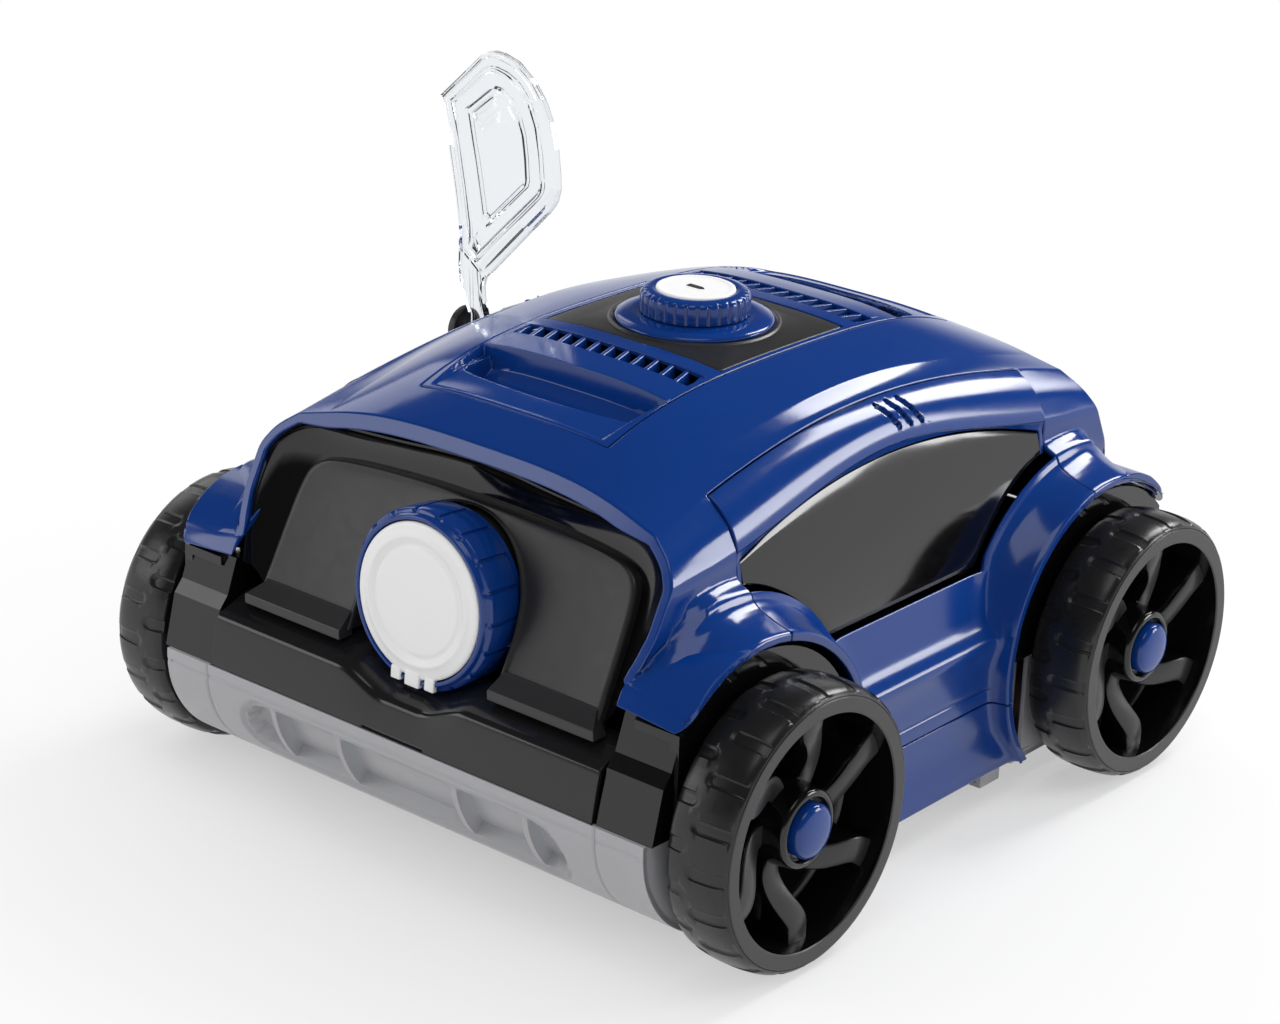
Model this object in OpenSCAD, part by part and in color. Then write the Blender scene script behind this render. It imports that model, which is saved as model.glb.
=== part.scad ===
// Jet-driven pool cleaner on four free-rolling wheels.
// Origin on the floor under the middle of the body; X to the right, Y to the rear, Z up. Millimetres.

/* [Body shell] */
// Height of the crown in the middle
crown_top = 222; // [214:1:232]
// How far the crown falls towards the openings
crown_fall = 25; // [18:1:30]
// Height of the shoulder ridge in the middle
shoulder_top = 213; // [206:1:217]
// How far the shoulder ridge falls towards the openings
shoulder_fall = 23.5; // [18:0.5:27]
// How far the shoulder ridge lies inside the lip above the side window
shoulder_in = 28; // [24:1:31]
// How far the side panel's upper edge lies inside that lip
crease_in = 19; // [16:1:21]
// How far that lip lies inside the wheels
lip_in = 36; // [34:1:38]
// How far the shell's foot lies inside the wheels, in the middle
waist_in = 24; // [22:1:26]
// How far the openings' foot lies inside the wheels
mouth_in = 38; // [36:1:40]
// Height of the shell's foot above the floor
shell_foot = 124; // [123:1:126]
// Distance from the middle to the openings, at the shell's foot
mouth_y = 186; // [182:1:188]
// Lean of the openings from upright, in degrees
mouth_lean = 27; // [23:1:30]
// Thickness of the blue shell
shell_t = 3; // [2:0.5:4]
// Thickness of the shell's lip around the openings
rim_t = 5; // [4:0.5:6]
// Half length of a side panel above its window
panel_half = 118; // [114:1:120]

/* [Wheels] */
// Outer radius of a tyre
wheel_r = 66; // [64:0.5:67]
// Width of a wheel
wheel_w = 33; // [28:1:36]
// Distance between front and rear axles
wheelbase = 270; // [264:1:276]
// Width over the outer faces of the wheels
track = 376; // [372:1:384]
// Thickness of a tyre over its rim
tyre_t = 9; // [7:0.5:12]
// Radius of the wheel hub
hub_r = 19; // [17:0.5:22]
// Radius of an axle
axle_r = 6; // [4:0.5:7]
// Radius of the blue wheel cap
cap_r = 13; // [11:0.5:14]
// Number of spokes
spokes = 6; // [4:1:7]

/* [Fenders] */
// Gap between a tyre and its arch
arch_gap = 7; // [5:0.5:9]
// How far the fender rises from the arch to where it meets the body side
fender_rise = 17; // [14:0.5:19]
// How far the fender lips stop short of the wheels' inner faces
fender_in = 0; // [0:0.5:2.5]
// Thickness of the fender at its lip
fender_t = 3; // [2:0.5:3.5]

/* [Tray] */
// Height of the tray's rim
tray_top = 70; // [69:0.5:71]
// Height of the tray's underside
tray_foot = 12; // [9:0.5:14]
// Distance from the middle to the tray's front face
tray_y = 203; // [202:0.5:206]
// How far the tray lies inside the fender lips
tray_in = 7; // [6:0.5:9]
// Thickness of the tray's wall
tray_t = 2.6; // [2:0.2:3.4]
// How far the tray lies inside the fender lips between the sills
tray_waist_in = 14; // [13:0.5:17]
// Half width of a suction mouth
inlet_x = 55; // [40:1:65]
// Length of a suction mouth along the body
inlet_y = 24; // [18:1:28]
// Distance from the middle to a suction mouth's centre
inlet_at = 60; // [56:1:66]

/* [Jet] */
// Height of a nozzle's centre
nozzle_z = 132.8; // [130:0.2:135]
// Distance from the middle to a nozzle's face
nozzle_y = 187; // [185:0.5:189]
// Lean of the nozzle from level, in degrees
nozzle_lean = 4; // [0:1:6]
// Outer radius of the notched nozzle ring
ring_r = 41; // [39:0.5:42]
// Radius of the white flap
flap_r = 36.5; // [34:0.5:37]
// Inner radius of the pump duct
duct_r = 30.5; // [28:0.5:31.5]
// Wall of the pump duct
duct_t = 3; // [2:0.5:3.5]
// Radius of the drive shaft
shaft_r = 3; // [2:0.5:4]
// Distance from the middle to a propeller
prop_at = 66; // [60:1:72]
// Radius of the motor can
motor_r = 21; // [16:1:22]

/* [Knob] */
// Radius of the ribbed knob
knob_r = 27; // [24:0.5:29]
// Height of the knob
knob_h = 12; // [9:0.5:14]
// Radius of the flange under the knob
flange_r = 38; // [35:0.5:40]
// Radius of the white disc
disc_r = 19; // [16:0.5:21]
// Number of ribs on the knob
knob_ribs = 30; // [20:1:36]

/* [Top deck] */
// Half width of the deck
deck_x = 56.5; // [55:0.5:58]
// Half length of the deck
deck_y = 127; // [125:1:129]
// Half width of the black top panel
panel_x = 53; // [50:0.5:53.5]
// Half length of the black top panel
panel_y = 46; // [44:0.5:48]
// Number of vent cells in a row
vent_cells = 9; // [6:1:11]

/* [Paddle] */
// Height of the paddle's hinge above the floor
fin_z = 182; // [180:0.5:184]
// How far the stem's middle stands outside the lip above the side window
fin_out = 18; // [17:0.5:19]
// Height of the paddle above its hinge
fin_h = 145; // [130:1:150]
// Thickness of the paddle plate
fin_t = 4; // [3:0.5:5]

/* [Clearances] */
// Gap between neighbouring panels
seam = 0.3; // [0.2:0.05:0.5]
// Radial clearance of a turning fit
run = 0.07; // [0.04:0.01:0.09]
// Radial clearance of a seated fit
seat = 0.03; // [0.02:0.01:0.05]

/* [Hidden] */
$fn = 64;
far = 400;

blue = "#123F9E";
black = "#1B1B1D";
smoke = "#3A3A3E";
grey = "#9B9BA0";
white = "#F4F4F4";
clear = "#DDE6EE";
steel = "#B8BCC0";
green = "#2F6B3C";

axle_y = wheelbase / 2;
axle_z = wheel_r;
wheel_in = track / 2 - wheel_w;
rim_r = wheel_r - tyre_t;
arch_r = wheel_r + arch_gap;
fender_r = arch_r + fender_rise;
fender_x = wheel_in - fender_in;
waist_x = wheel_in - waist_in;
mouth_x = wheel_in - mouth_in;
lip_x = wheel_in - lip_in;
crease_x = lip_x - crease_in;
shoulder_x = lip_x - shoulder_in;
tray_x = fender_x - tray_in;
tray_waist = fender_x - tray_waist_in;
fin_x = lip_x + fin_out;

// ---------------------------------------------------------------- body form

function mix(a, b, t) = a + (b - a) * t;

// distance of the slanted opening from the middle, at height z
function opening_y(z) = mouth_y - (z - shell_foot) * tan(mouth_lean);

// heights along the body; s runs from 0 in the middle to 1 at the openings
function crown(s) = crown_top - crown_fall * pow(s, 4.4);
function shoulder(s) = shoulder_top - shoulder_fall * pow(s, 1.9);
function crease(s) = shoulder_top - 4 - (shoulder_fall - 0.5) * pow(s, 2);
function lip_top(s) = shoulder_top - 23 - 12 * pow(s, 2);

// half of the body's cross section, from the crown down to the foot
function half_section(s) = let (c = crown(s), r = shoulder(s), k = crease(s), l = lip_top(s), q = s * s) [
  [0, c],
  [shoulder_x * 0.36, c - 0.6],
  [shoulder_x * 0.62, mix(c, r, 0.22)],
  [shoulder_x * 0.84, mix(c, r, 0.62)],
  [shoulder_x - 5, r + 1.6],
  [shoulder_x, r],
  [shoulder_x + 4.5, mix(r, k, 0.62)],
  [mix(crease_x, crease_x + 7, q), k],
  [mix(crease_x + 11, crease_x + 15, q), mix(k, l, 0.42)],
  [lip_x, l],
  [mix(lip_x + 3, lip_x + 6, q), l - 9],
  [mix(waist_x - 5, lip_x + 6, q), mix(l, shell_foot, 0.45)],
  [mix(waist_x - 3, lip_x + 3, q), mix(l, shell_foot, 0.74)],
  [mix(waist_x, mouth_x, q), shell_foot]
];

function unit(v) = v / norm(v);
function outward(p, i) = let (
    a = p[max(i - 1, 0)],
    b = p[min(i + 1, len(p) - 1)],
    d = unit(b - a)
  ) i == 0 ? [0, 1] : [-d[1], d[0]];
function inset_half(p, d) = [for (i = [0:len(p) - 1]) p[i] - d * outward(p, i)];

// whole section as one closed ring, right side first
function ring_of(h) = concat(h, [for (i = [len(h) - 1:-1:1]) [-h[i][0], h[i][1]]]);

steps = 8;
stations = [for (i = [-steps:steps]) sign(i) * pow(abs(i) / steps, 0.8)];

// solid of the body's outer form, moved inward by d, by d_end at the openings, lengthened there by reach
// and carried down by drop below the shell's foot
module body_form(d, d_end, reach, drop) {
  at = reach > 0 ? concat([-1], stations, [1]) : stations;
  last = len(at) - 1;
  rings = [for (t = at) let (h = inset_half(half_section(abs(t)), abs(t) == 1 ? d_end : d), foot = h[len(h) - 1])
    ring_of(concat(h, [[foot[0], shell_foot - drop]]))];
  n = len(rings[0]);
  function push(i) = i == 0 ? -reach : i == last ? reach : 0;
  points = [for (i = [0:last]) for (p = rings[i]) [p[0], at[i] * opening_y(p[1]) + push(i), p[1]]];
  skin = [for (i = [0:last - 1]) for (j = [0:n - 1]) let (k = (j + 1) % n)
    each [[i * n + j, (i + 1) * n + j, i * n + k], [i * n + k, (i + 1) * n + j, (i + 1) * n + k]]];
  ends = [[for (j = [0:n - 1]) j], [for (j = [n - 1:-1:0]) last * n + j]];
  polyhedron(concat(points), concat(skin, ends), convexity = 8);
}

// the body as a shell that is open at the front, the rear and below
module body_shell() {
  difference() {
    body_form(0, 0, 0, 0.5);
    body_form(shell_t, rim_t, 6, 2.5);
  }
}

// ---------------------------------------------------------------- helpers

// draws a side profile, given in Y and Z, from x0 to x1
module along_x(x0, x1) {
  translate([x0, 0, 0]) rotate([90, 0, 90]) linear_extrude(x1 - x0) children();
}

// draws a front profile, given in X and Z, from y0 to y1
module along_y(y0, y1) {
  translate([0, y1, 0]) rotate([90, 0, 0]) linear_extrude(y1 - y0) children();
}

module box(low, high) {
  translate(low) cube(high - low);
}

module rod_x(x0, x1, y, z, r) {
  translate([x0, y, z]) rotate([0, 90, 0]) cylinder(x1 - x0, r, r);
}

module rod_y(y0, y1, x, z, r) {
  translate([x, y0, z]) rotate([-90, 0, 0]) cylinder(y1 - y0, r, r);
}

module left_side() {
  mirror([1, 0, 0]) children();
}

module rear_side() {
  mirror([0, 1, 0]) children();
}

module both_ends() {
  children();
  rear_side() children();
}

module both_sides() {
  children();
  left_side() children();
}

// the space behind both slanted openings, in Y and Z, pulled in by d
module between_openings(d = 0) {
  polygon([
    [-opening_y(0) + d, 0], [opening_y(0) - d, 0],
    [opening_y(far) - d, far], [-opening_y(far) + d, far]
  ]);
}

// ---------------------------------------------------------------- fenders and side

fender_inner_x = mouth_x + 5;
liner_x = fender_inner_x + 4.5;
tip_t = 6;

// ring of the wheel arch at the front right wheel
module fender_ring() {
  x0 = fender_inner_x;
  profile = [
    [fender_r + 1, x0], [fender_r, mix(x0, fender_x, 0.26)], [mix(fender_r, arch_r, 0.16), mix(x0, fender_x, 0.5)],
    [mix(fender_r, arch_r, 0.42), mix(x0, fender_x, 0.72)], [mix(fender_r, arch_r, 0.68), mix(x0, fender_x, 0.9)],
    [arch_r + fender_t, fender_x], [arch_r, fender_x], [arch_r, x0]
  ];
  translate([0, -axle_y, axle_z]) rotate([0, 90, 0]) rotate_extrude($fn = 96) polygon(profile);
}

// hood's share of a front right fender: the outer half of the arch, falling to a flat tip
module fender_tip() {
  tip_top = post_top + tip_t;
  intersection() {
    fender_ring();
    along_x(fender_inner_x - 1, fender_x + 1) polygon([
      [-opening_y(post_top), post_top], [-panel_half - seam / 2, post_top], [-panel_half - seam / 2, far],
      [-mouth_y + 34, far], [-mouth_y + 34, tip_top + 46], [-mouth_y + 28, tip_top + 23],
      [-mouth_y + 20, tip_top + 12], [-mouth_y + 10, tip_top + 4], [-opening_y(tip_top), tip_top]
    ]);
  }
  intersection() {
    box([mouth_x - 4, -mouth_y - 8, post_top], [liner_x - seam, -mouth_y + 26, tip_top]);
    along_x(0, far) between_openings();
  }
}

// the long shape of the side below the window, in X and Z
module side_strip() {
  polygon([
    [waist_x - 3, window_foot + 2], [waist_x + 1, window_foot + 2], [waist_x + 3, window_foot],
    [waist_x + 10, 91], [waist_x + 14.5, 88], [waist_x + 16.5, 85], [waist_x + 16.5, 81],
    [waist_x + 15, 76], [waist_x + 15, 61], [waist_x + 14, 60], [waist_x + 15, 59], [waist_x + 15, sill_top + seam],
    [waist_x + 12, sill_top + seam], [waist_x + 12, 78], [waist_x + 7, 89], [waist_x, window_foot - 2]
  ]);
}

window_foot = 115;
window_half = panel_half - 3;
window_t = 2.5;
window_lap = 2.5;
sill_top = 52;
sill_foot = 17;
post_top = 118;

function window_arch(y) = shoulder_top - 28 - 19 * pow(y / panel_half, 2);

// outline of the side window, in Y and Z, grown by d
module window_outline(d) {
  ring = fender_r + 1 + (d > 0 ? seam : 0);
  low = window_foot - d;
  edge = window_half + d;
  foot_y = axle_y - sqrt(pow(ring, 2) - pow(low - axle_z, 2));
  foot_angle = atan2(low - axle_z, foot_y - axle_y);
  side_angle = acos((edge - axle_y) / ring);
  half = concat(
    [for (i = [0:6]) let (a = mix(foot_angle, side_angle, i / 6)) [axle_y + ring * cos(a), axle_z + ring * sin(a)]],
    [for (i = [0:8]) let (y = edge * (1 - i / 8)) [y, window_arch(y) + d]]
  );
  polygon(concat(half, [for (i = [len(half) - 2:-1:0]) [-half[i][0], half[i][1]]]));
}

module side_zone() {
  box([crease_x - 0.5 + seam, -panel_half + seam / 2, sill_top], [far / 2, panel_half - seam / 2, far]);
}

module side_panel() {
  difference() {
    intersection() {
      body_shell();
      side_zone();
    }
    along_x(crease_x, far / 2) window_outline(0);
    along_x(crease_x, far / 2) for (s = [-1, 1]) translate([s * axle_y, axle_z]) circle(fender_r - 1);
    for (i = [-1:1]) translate([lip_x - 9, 11 + 9 * i, shoulder_top - 12])
      rotate([-22, 0, 0]) translate([-20, -1.5, -7]) cube([40, 3, 14]);
  }
  difference() {
    along_y(-far / 4, far / 4) side_strip();
    along_x(crease_x, far / 2) for (s = [-1, 1]) translate([s * axle_y, axle_z]) circle(fender_r - 1.5);
  }
  both_ends() intersection() {
    fender_ring();
    union() {
      box([tray_waist + seam, -panel_half + seam / 2, sill_top + seam], [far / 2, -20, shell_foot]);
      box([fender_inner_x - 1, -panel_half + seam / 2, hull_deck + deck_plate + seam], [far / 2, -20, far]);
    }
  }
}

module side_panel_right() {
  color(blue) side_panel();
}

module side_panel_left() {
  color(blue) left_side() side_panel();
}

module sill() {
  difference() {
    along_y(-84, 84) polygon([
      [waist_x + 12, sill_top + seam], [waist_x + 13.4, sill_top + seam], [waist_x + 13.4, sill_top],
      [waist_x + 15, sill_top], [waist_x + 15, 40], [waist_x + 18, 24],
      [waist_x + 21, sill_foot + 2], [waist_x + 20, sill_foot], [waist_x + 17, sill_foot], [waist_x + 15, 24],
      [waist_x + 12, 40]
    ]);
    along_x(0, far) for (s = [-1, 1]) translate([s * axle_y, axle_z]) circle(arch_r + 2);
  }
  both_ends() intersection() {
    fender_ring();
    box([waist_x + 12, -100, sill_foot + 12], [far / 2, -20, sill_top]);
  }
}

module sill_right() {
  color(blue) sill();
}

module sill_left() {
  color(blue) left_side() sill();
}

// window plate just behind the shell, following its curve
module side_window() {
  intersection() {
    along_x(crease_x, far / 2) window_outline(window_lap);
    difference() {
      body_form(shell_t + seat, shell_t + seat, 0, shell_foot - window_foot + window_lap);
      body_form(shell_t + window_t, shell_t + window_t, 6, shell_foot - window_foot + 2 * window_lap);
    }
  }
}

module window_right() {
  color(smoke) side_window();
}

module window_left() {
  color(smoke) left_side() side_window();
}

module hood() {
  color(blue) difference() {
    union() {
      body_form(0, 0, 0, 0.5);
      both_ends() both_sides() fender_tip();
    }
    body_form(shell_t, rim_t, 6, 2.5);
    both_sides() box([crease_x - 0.5, -panel_half, 0], [far, panel_half, far]);
    box([-deck_x - seam, -deck_y - seam, 150], [deck_x + seam, deck_y + seam, far]);
    both_ends() both_sides() translate([screw_x, -screw_y, post_top - 1])
      cylinder(screw_grip + 1 + seam, screw_r + seat, screw_r + seat);
  }
}

// ---------------------------------------------------------------- top deck, panel and knob

deck_t = 3;
grip_x = 52;
grip_front = 124;
grip_back = 88;
grip_floor = 186;

function station_of(y, z) = min(1, abs(y) / opening_y(z));
function deck_height(y) = crown(station_of(y, crown_top - 6)) - 0.4;

// side profile of the deck between two distances from the middle, as a band of thickness t
module deck_band(y0, y1, t) {
  n = 24;
  top = [for (i = [0:n]) let (y = mix(y0, y1, i / n)) [y, deck_height(y)]];
  polygon(concat(top, [for (i = [n:-1:0]) top[i] - [0, t]]));
}

// the scooped finger well in front of a grip bar
module grip_well(grow) {
  front = -grip_front - grow;
  back = -grip_back + 10 + grow;
  along_x(-grip_x - grow, grip_x + grow) polygon([
    [front, deck_height(grip_front) - 2 - grow], [-112, 197 - grow], [-98, grip_floor - grow],
    [back, grip_floor - grow], [back, 208 + grow], [-grip_back, 212 + grow],
    [-grip_back - grow / 2, deck_height(grip_back) + 8 - grow * 2.8],
    [front, deck_height(grip_front) + 8 - grow * 2.8]
  ]);
}

module top_deck() {
  pitch = 2 * panel_x / vent_cells;
  color(blue) difference() {
    union() {
      along_x(-deck_x, deck_x) deck_band(-deck_y, deck_y, deck_t);
      // tabs that seat the deck in the hood
      both_sides() for (y = [-72, -36, 0, 36, 72])
        box([deck_x - 1, y - 3, deck_height(y) - deck_t + 0.5], [deck_x + seam, y + 3, deck_height(y) - 1.5]);
      both_ends() difference() {
        grip_well(2.2);
        box([-far, -far, deck_height(grip_front)], [far, -grip_back, far]);
      }
    }
    both_ends() grip_well(0);
    both_ends() for (i = [0:vent_cells - 1])
      box([-panel_x + pitch * (i + 0.14), -71, 200], [-panel_x + pitch * (i + 0.86), -55, far]);
    box([-panel_x - seam, -panel_y - seam, deck_height(panel_y) - 1], [panel_x + seam, panel_y + seam, far]);
    translate([0, 0, 150]) cylinder(100, 16, 16);
  }
}

panel_low = deck_height(panel_y) - 1;
panel_high = crown_top - 0.4;

module top_panel() {
  color(black) difference() {
    union() {
      box([-panel_x, -panel_y, panel_low], [panel_x, panel_y, panel_high]);
      translate([0, 0, panel_low]) cylinder(panel_high - panel_low + 1.8, flange_r + 6, flange_r + 3);
    }
    translate([0, 0, panel_high - 0.4]) cylinder(20, flange_r + seam, flange_r + seam);
    translate([0, 0, panel_low - 20]) cylinder(60, 12, 12);
  }
}

flange_base = panel_high - 0.4;
knob_base = flange_base + 4.3;
knob_top = knob_base + knob_h;
stem_r = 6;
neck_r = 11.6;

module knob_flange() {
  color(blue) translate([0, 0, flange_base]) difference() {
    union() {
      cylinder(2.6, flange_r, flange_r);
      cylinder(4, knob_r + 3, knob_r + 2);
    }
    translate([0, 0, -1]) cylinder(20, neck_r + seam, neck_r + seam);
  }
}

module knob() {
  color(blue) difference() {
    union() {
      translate([0, 0, knob_base]) cylinder(knob_h - 1.5, knob_r - 1, knob_r - 1);
      translate([0, 0, knob_top - 1.5]) cylinder(1.5, knob_r - 1, knob_r - 2.5);
      for (i = [0:knob_ribs - 1]) rotate(360 * i / knob_ribs)
        translate([knob_r - 2, -1.9, knob_base]) cube([2, 3.8, knob_h - 1.5]);
    }
    translate([0, 0, knob_top - 1]) cylinder(5, disc_r + seam / 2, disc_r + seam / 2);
    translate([0, 0, knob_base - 1]) cylinder(6, stem_r - 1, stem_r - 1);
  }
}

module knob_disc() {
  color(white) translate([0, 0, knob_top - 1]) cylinder(1.6, disc_r, disc_r);
}

module switch_shaft() {
  color(steel) {
    translate([0, 0, knob_base - 26]) cylinder(26, stem_r, stem_r);
    translate([0, 0, knob_base]) cylinder(4.8, stem_r - 1.1, stem_r - 1.1);
  }
}

switch_r = 18;
switch_top = deck_height(switch_r) - deck_t;

module switch_body() {
  color(black) difference() {
    union() {
      translate([0, 0, knob_base - 28]) cylinder(switch_top - knob_base + 28, switch_r, switch_r);
      translate([0, 0, switch_top - 1]) cylinder(6.6, neck_r, neck_r);
    }
    translate([0, 0, knob_base - 26 - seam]) cylinder(60, stem_r + run, stem_r + run);
  }
}

// ---------------------------------------------------------------- end panels and bumpers

panel_back = 10;
nozzle_gap_r = ring_r + 4;

// outline of the front opening inside the shell, seen along Y, shrunk by d
module mouth_outline(d) {
  h = inset_half(half_section(1), rim_t + d);
  foot = [mouth_x - rim_t - d - 5, 104];
  polygon(concat(h, [foot], [[-foot[0], foot[1]]], [for (i = [len(h) - 1:-1:1]) [-h[i][0], h[i][1]]]));
}

module end_panel() {
  difference() {
    intersection() {
      along_y(-far / 2, 0) mouth_outline(0.5);
      along_x(-far / 2, far / 2) polygon([
        [-opening_y(100) + panel_back, 100], [-opening_y(200) + panel_back, 200],
        [-opening_y(200) + panel_back + 4, 200], [-opening_y(100) + panel_back + 4, 100]
      ]);
    }
    at_nozzle() translate([0, 0, -60]) cylinder(100, nozzle_gap_r, nozzle_gap_r);
    box([-nozzle_gap_r, -far / 2, 0], [nozzle_gap_r, 0, nozzle_z]);
  }
  // bevelled ledges at the foot on both sides of the nozzle
  both_sides() along_x(nozzle_gap_r + 1, mouth_x - 10) polygon([
    [-opening_y(112) + panel_back + 1, 112], [-ledge_y, ledge_z], [-ledge_y, bumper_height(ledge_y)],
    [-ledge_y + 7, bumper_height(ledge_y - 7)]
  ]);
}

module front_panel() {
  color(black) end_panel();
}

module rear_panel() {
  color(black) rear_side() difference() {
    end_panel();
    rod_y(-far / 2, 0, socket_x, socket_z, socket_r + seat);
  }
}

bumper_half = mouth_x + 1;
bumper_top = 95;
bumper_rise = 5.5;
bumper_t = 3.5;
ledge_y = 191;
ledge_z = 104.5;

// height of the bumper's sloping top, at distance y from the middle
function bumper_height(y) = bumper_top + bumper_rise * (tray_y - 7 - y) / (tray_y - 7 - post_back);
dip_half = 37;
dip_depth = 8;

module bumper() {
  difference() {
    along_x(-bumper_half, bumper_half) polygon([
      [-tray_y, tray_top + seam], [-tray_y + 5, bumper_top - 1.5], [-tray_y + 7, bumper_top],
      [-post_back, bumper_top + bumper_rise], [-post_back, bumper_top + bumper_rise - bumper_t],
      [-tray_y + 11, bumper_height(tray_y - 11) - bumper_t],
      [-tray_y + 4, tray_top + seam]
    ]);
    translate([0, -tray_y - 5, bumper_top + 46.5]) rotate([-90, 0, 0]) cylinder(60, 54, 54, $fn = 96);
  }
  intersection() {
    along_x(-dip_half, dip_half) polygon([
      [-tray_y, tray_top + seam], [-tray_y + 4, bumper_top - 8], [-post_back, bumper_top - 5],
      [-post_back, bumper_top - 8], [-tray_y + 7, bumper_top - 12], [-tray_y + 4, tray_top + seam]
    ]);
    box([-dip_half, -far, 0], [dip_half, 0, bumper_top - 6]);
  }
}

module bumper_front() {
  color(black) bumper();
}

module bumper_rear() {
  color(black) rear_side() bumper();
}

// ---------------------------------------------------------------- lower hull

post_in = mouth_x + 2;
post_out = fender_x - 5;
post_front = 196;
post_back = 172;
hull_deck = 76;
deck_plate = 3;
intake_x = 24;
intake_y = 56;
block_in = tray_waist - 31;
block_out = tray_waist + 1;
block_half = 14;
screw_r = 2;
screw_x = fender_inner_x + 2;
screw_y = 178;
screw_grip = 3;

module corner_post() {
  difference() {
    along_x(post_in, post_out) polygon([
      [-post_front - 5, tray_top], [-post_front + 1, 95], [-post_front + 6, 101], [-mouth_y + 2, post_top],
      [-post_back, post_top], [-post_back, tray_top]
    ]);
    translate([screw_x, -screw_y, 60]) cylinder(33, 4.4, 4.4);
    translate([screw_x, -screw_y, 60]) cylinder(80, screw_r + seam, screw_r + seam);
  }
}

// cheek behind a wheel with the arch liner that carries the fender
module wheel_cheek() {
  difference() {
    translate([0, -axle_y, axle_z]) rotate([0, 90, 0]) union() {
      translate([0, 0, fender_x - 9]) cylinder(5, arch_r - seat, arch_r - seat);
      translate([0, 0, liner_x]) cylinder(fender_x - 4 - liner_x, arch_r - seat, arch_r - seat);
    }
    rod_x(liner_x - 1, fender_x - 9, -axle_y, axle_z, arch_r - 3);
    rod_x(0, far, -axle_y, axle_z, axle_r + seam);
    box([0, -far, -far], [far, 0, tray_top]);
    box([0, -far, 0], [far, -axle_y - 52, far]);
  }
}

module axle_block() {
  difference() {
    box([block_in, -axle_y - block_half, axle_z - 16], [block_out, -axle_y + block_half, hull_deck]);
    rod_x(block_in + 4, far, -axle_y, axle_z, axle_r + seat);
  }
}

module lower_hull() {
  color(black) difference() {
    union() {
      box([-tray_waist, -post_back - 8, hull_deck], [tray_waist, post_back + 8, hull_deck + deck_plate]);
      both_ends() both_sides() {
        corner_post();
        wheel_cheek();
        axle_block();
        box([tray_waist - 1, -post_back - 8, hull_deck], [fender_x - 5, -axle_y + 50, hull_deck + deck_plate]);
        // saddle that carries the duct
        box([0, -143, hull_deck + 2], [duct_r, -137, duct_height - 12]);
        box([0, -88, hull_deck + 2], [duct_r, -84, duct_height - 12]);
        // bearers under the bumper
        box([dip_half + 3, -post_back - 7, hull_deck],
            [post_in + 1, -post_back - 4, bumper_height(post_back + 7) - bumper_t]);
        box([0, -post_back - 7, hull_deck], [dip_half + 4, -post_back - 4, bumper_top - dip_depth - 4]);
      }
      // chimney from the filter to the duct
      box([-intake_x - 3, -intake_y - 3, hull_deck], [intake_x + 3, intake_y + 3, duct_height - 12]);
      both_sides() box([block_in + 6, -60, hull_deck], [block_in + 9, 60, 110]);
      both_sides() box([block_in - 62, -60, hull_deck], [block_in - 59, 60, 84]);
    }
    box([-intake_x, -intake_y, 60], [intake_x, intake_y, far]);
    rod_y(-far, far, 0, duct_height, duct_r + duct_t + seat);
  }
}

module case_screws() {
  color(steel) both_ends() both_sides() {
    translate([screw_x, -screw_y, 89.9]) cylinder(3, 4, 4);
    translate([screw_x, -screw_y, 92]) cylinder(post_top + screw_grip - 92, screw_r, screw_r);
  }
}

// ---------------------------------------------------------------- filter tray

// side profile of the tray moved inward by d, in Y and Z
module tray_profile(d, top) {
  y = tray_y - d;
  f = tray_foot + d;
  half = [[y, top], [y, 65], [y - 4, 50], [y - 11, 36], [y - 21, 25], [y - 33, 17], [y - 47, f], [0, f]];
  polygon(concat(half, [for (i = [len(half) - 2:-1:0]) [-half[i][0], half[i][1]]]));
}

// plan of the tray moved inward by d, in X and Y
module tray_plan(d) {
  w = tray_x - d;
  n = tray_waist - d;
  m = 86 + d;
  y = tray_y;
  polygon([
    [w, -y], [w, -m], [n, -m + 4], [n, m - 4], [w, m], [w, y], [-w, y], [-w, m], [-n, m - 4], [-n, -m + 4],
    [-w, -m], [-w, -y]
  ]);
}

module tray_solid(d, top) {
  intersection() {
    along_x(-tray_x, tray_x) tray_profile(d, top);
    linear_extrude(far) tray_plan(d);
  }
}

rib_half = tray_x - 54;
rib_t = 4;
rib_count = 4;
pocket_depth = 4;

// the pockets between the ribs on the tray's front
module tray_pockets() {
  pitch = 2 * rib_half / (rib_count + 1);
  for (i = [0:rib_count])
    box([-rib_half + pitch * i + rib_t / 2, -far, 22], [-rib_half + pitch * (i + 1) - rib_t / 2, -150, 60]);
}

inlet_wall = 2.4;
inlet_rim = 34;

module suction_collar() {
  a = -inlet_at - inlet_y / 2;
  b = -inlet_at + inlet_y / 2;
  w = inlet_wall;
  box([-inlet_x - w, a - w, tray_foot], [inlet_x + w, b + w, inlet_rim]);
  for (s = [-1, 1]) translate([s * (inlet_x + w / 2) - w / 2, b + w - 1, inlet_rim - 6]) cube([w, 7, 12]);
}

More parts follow.
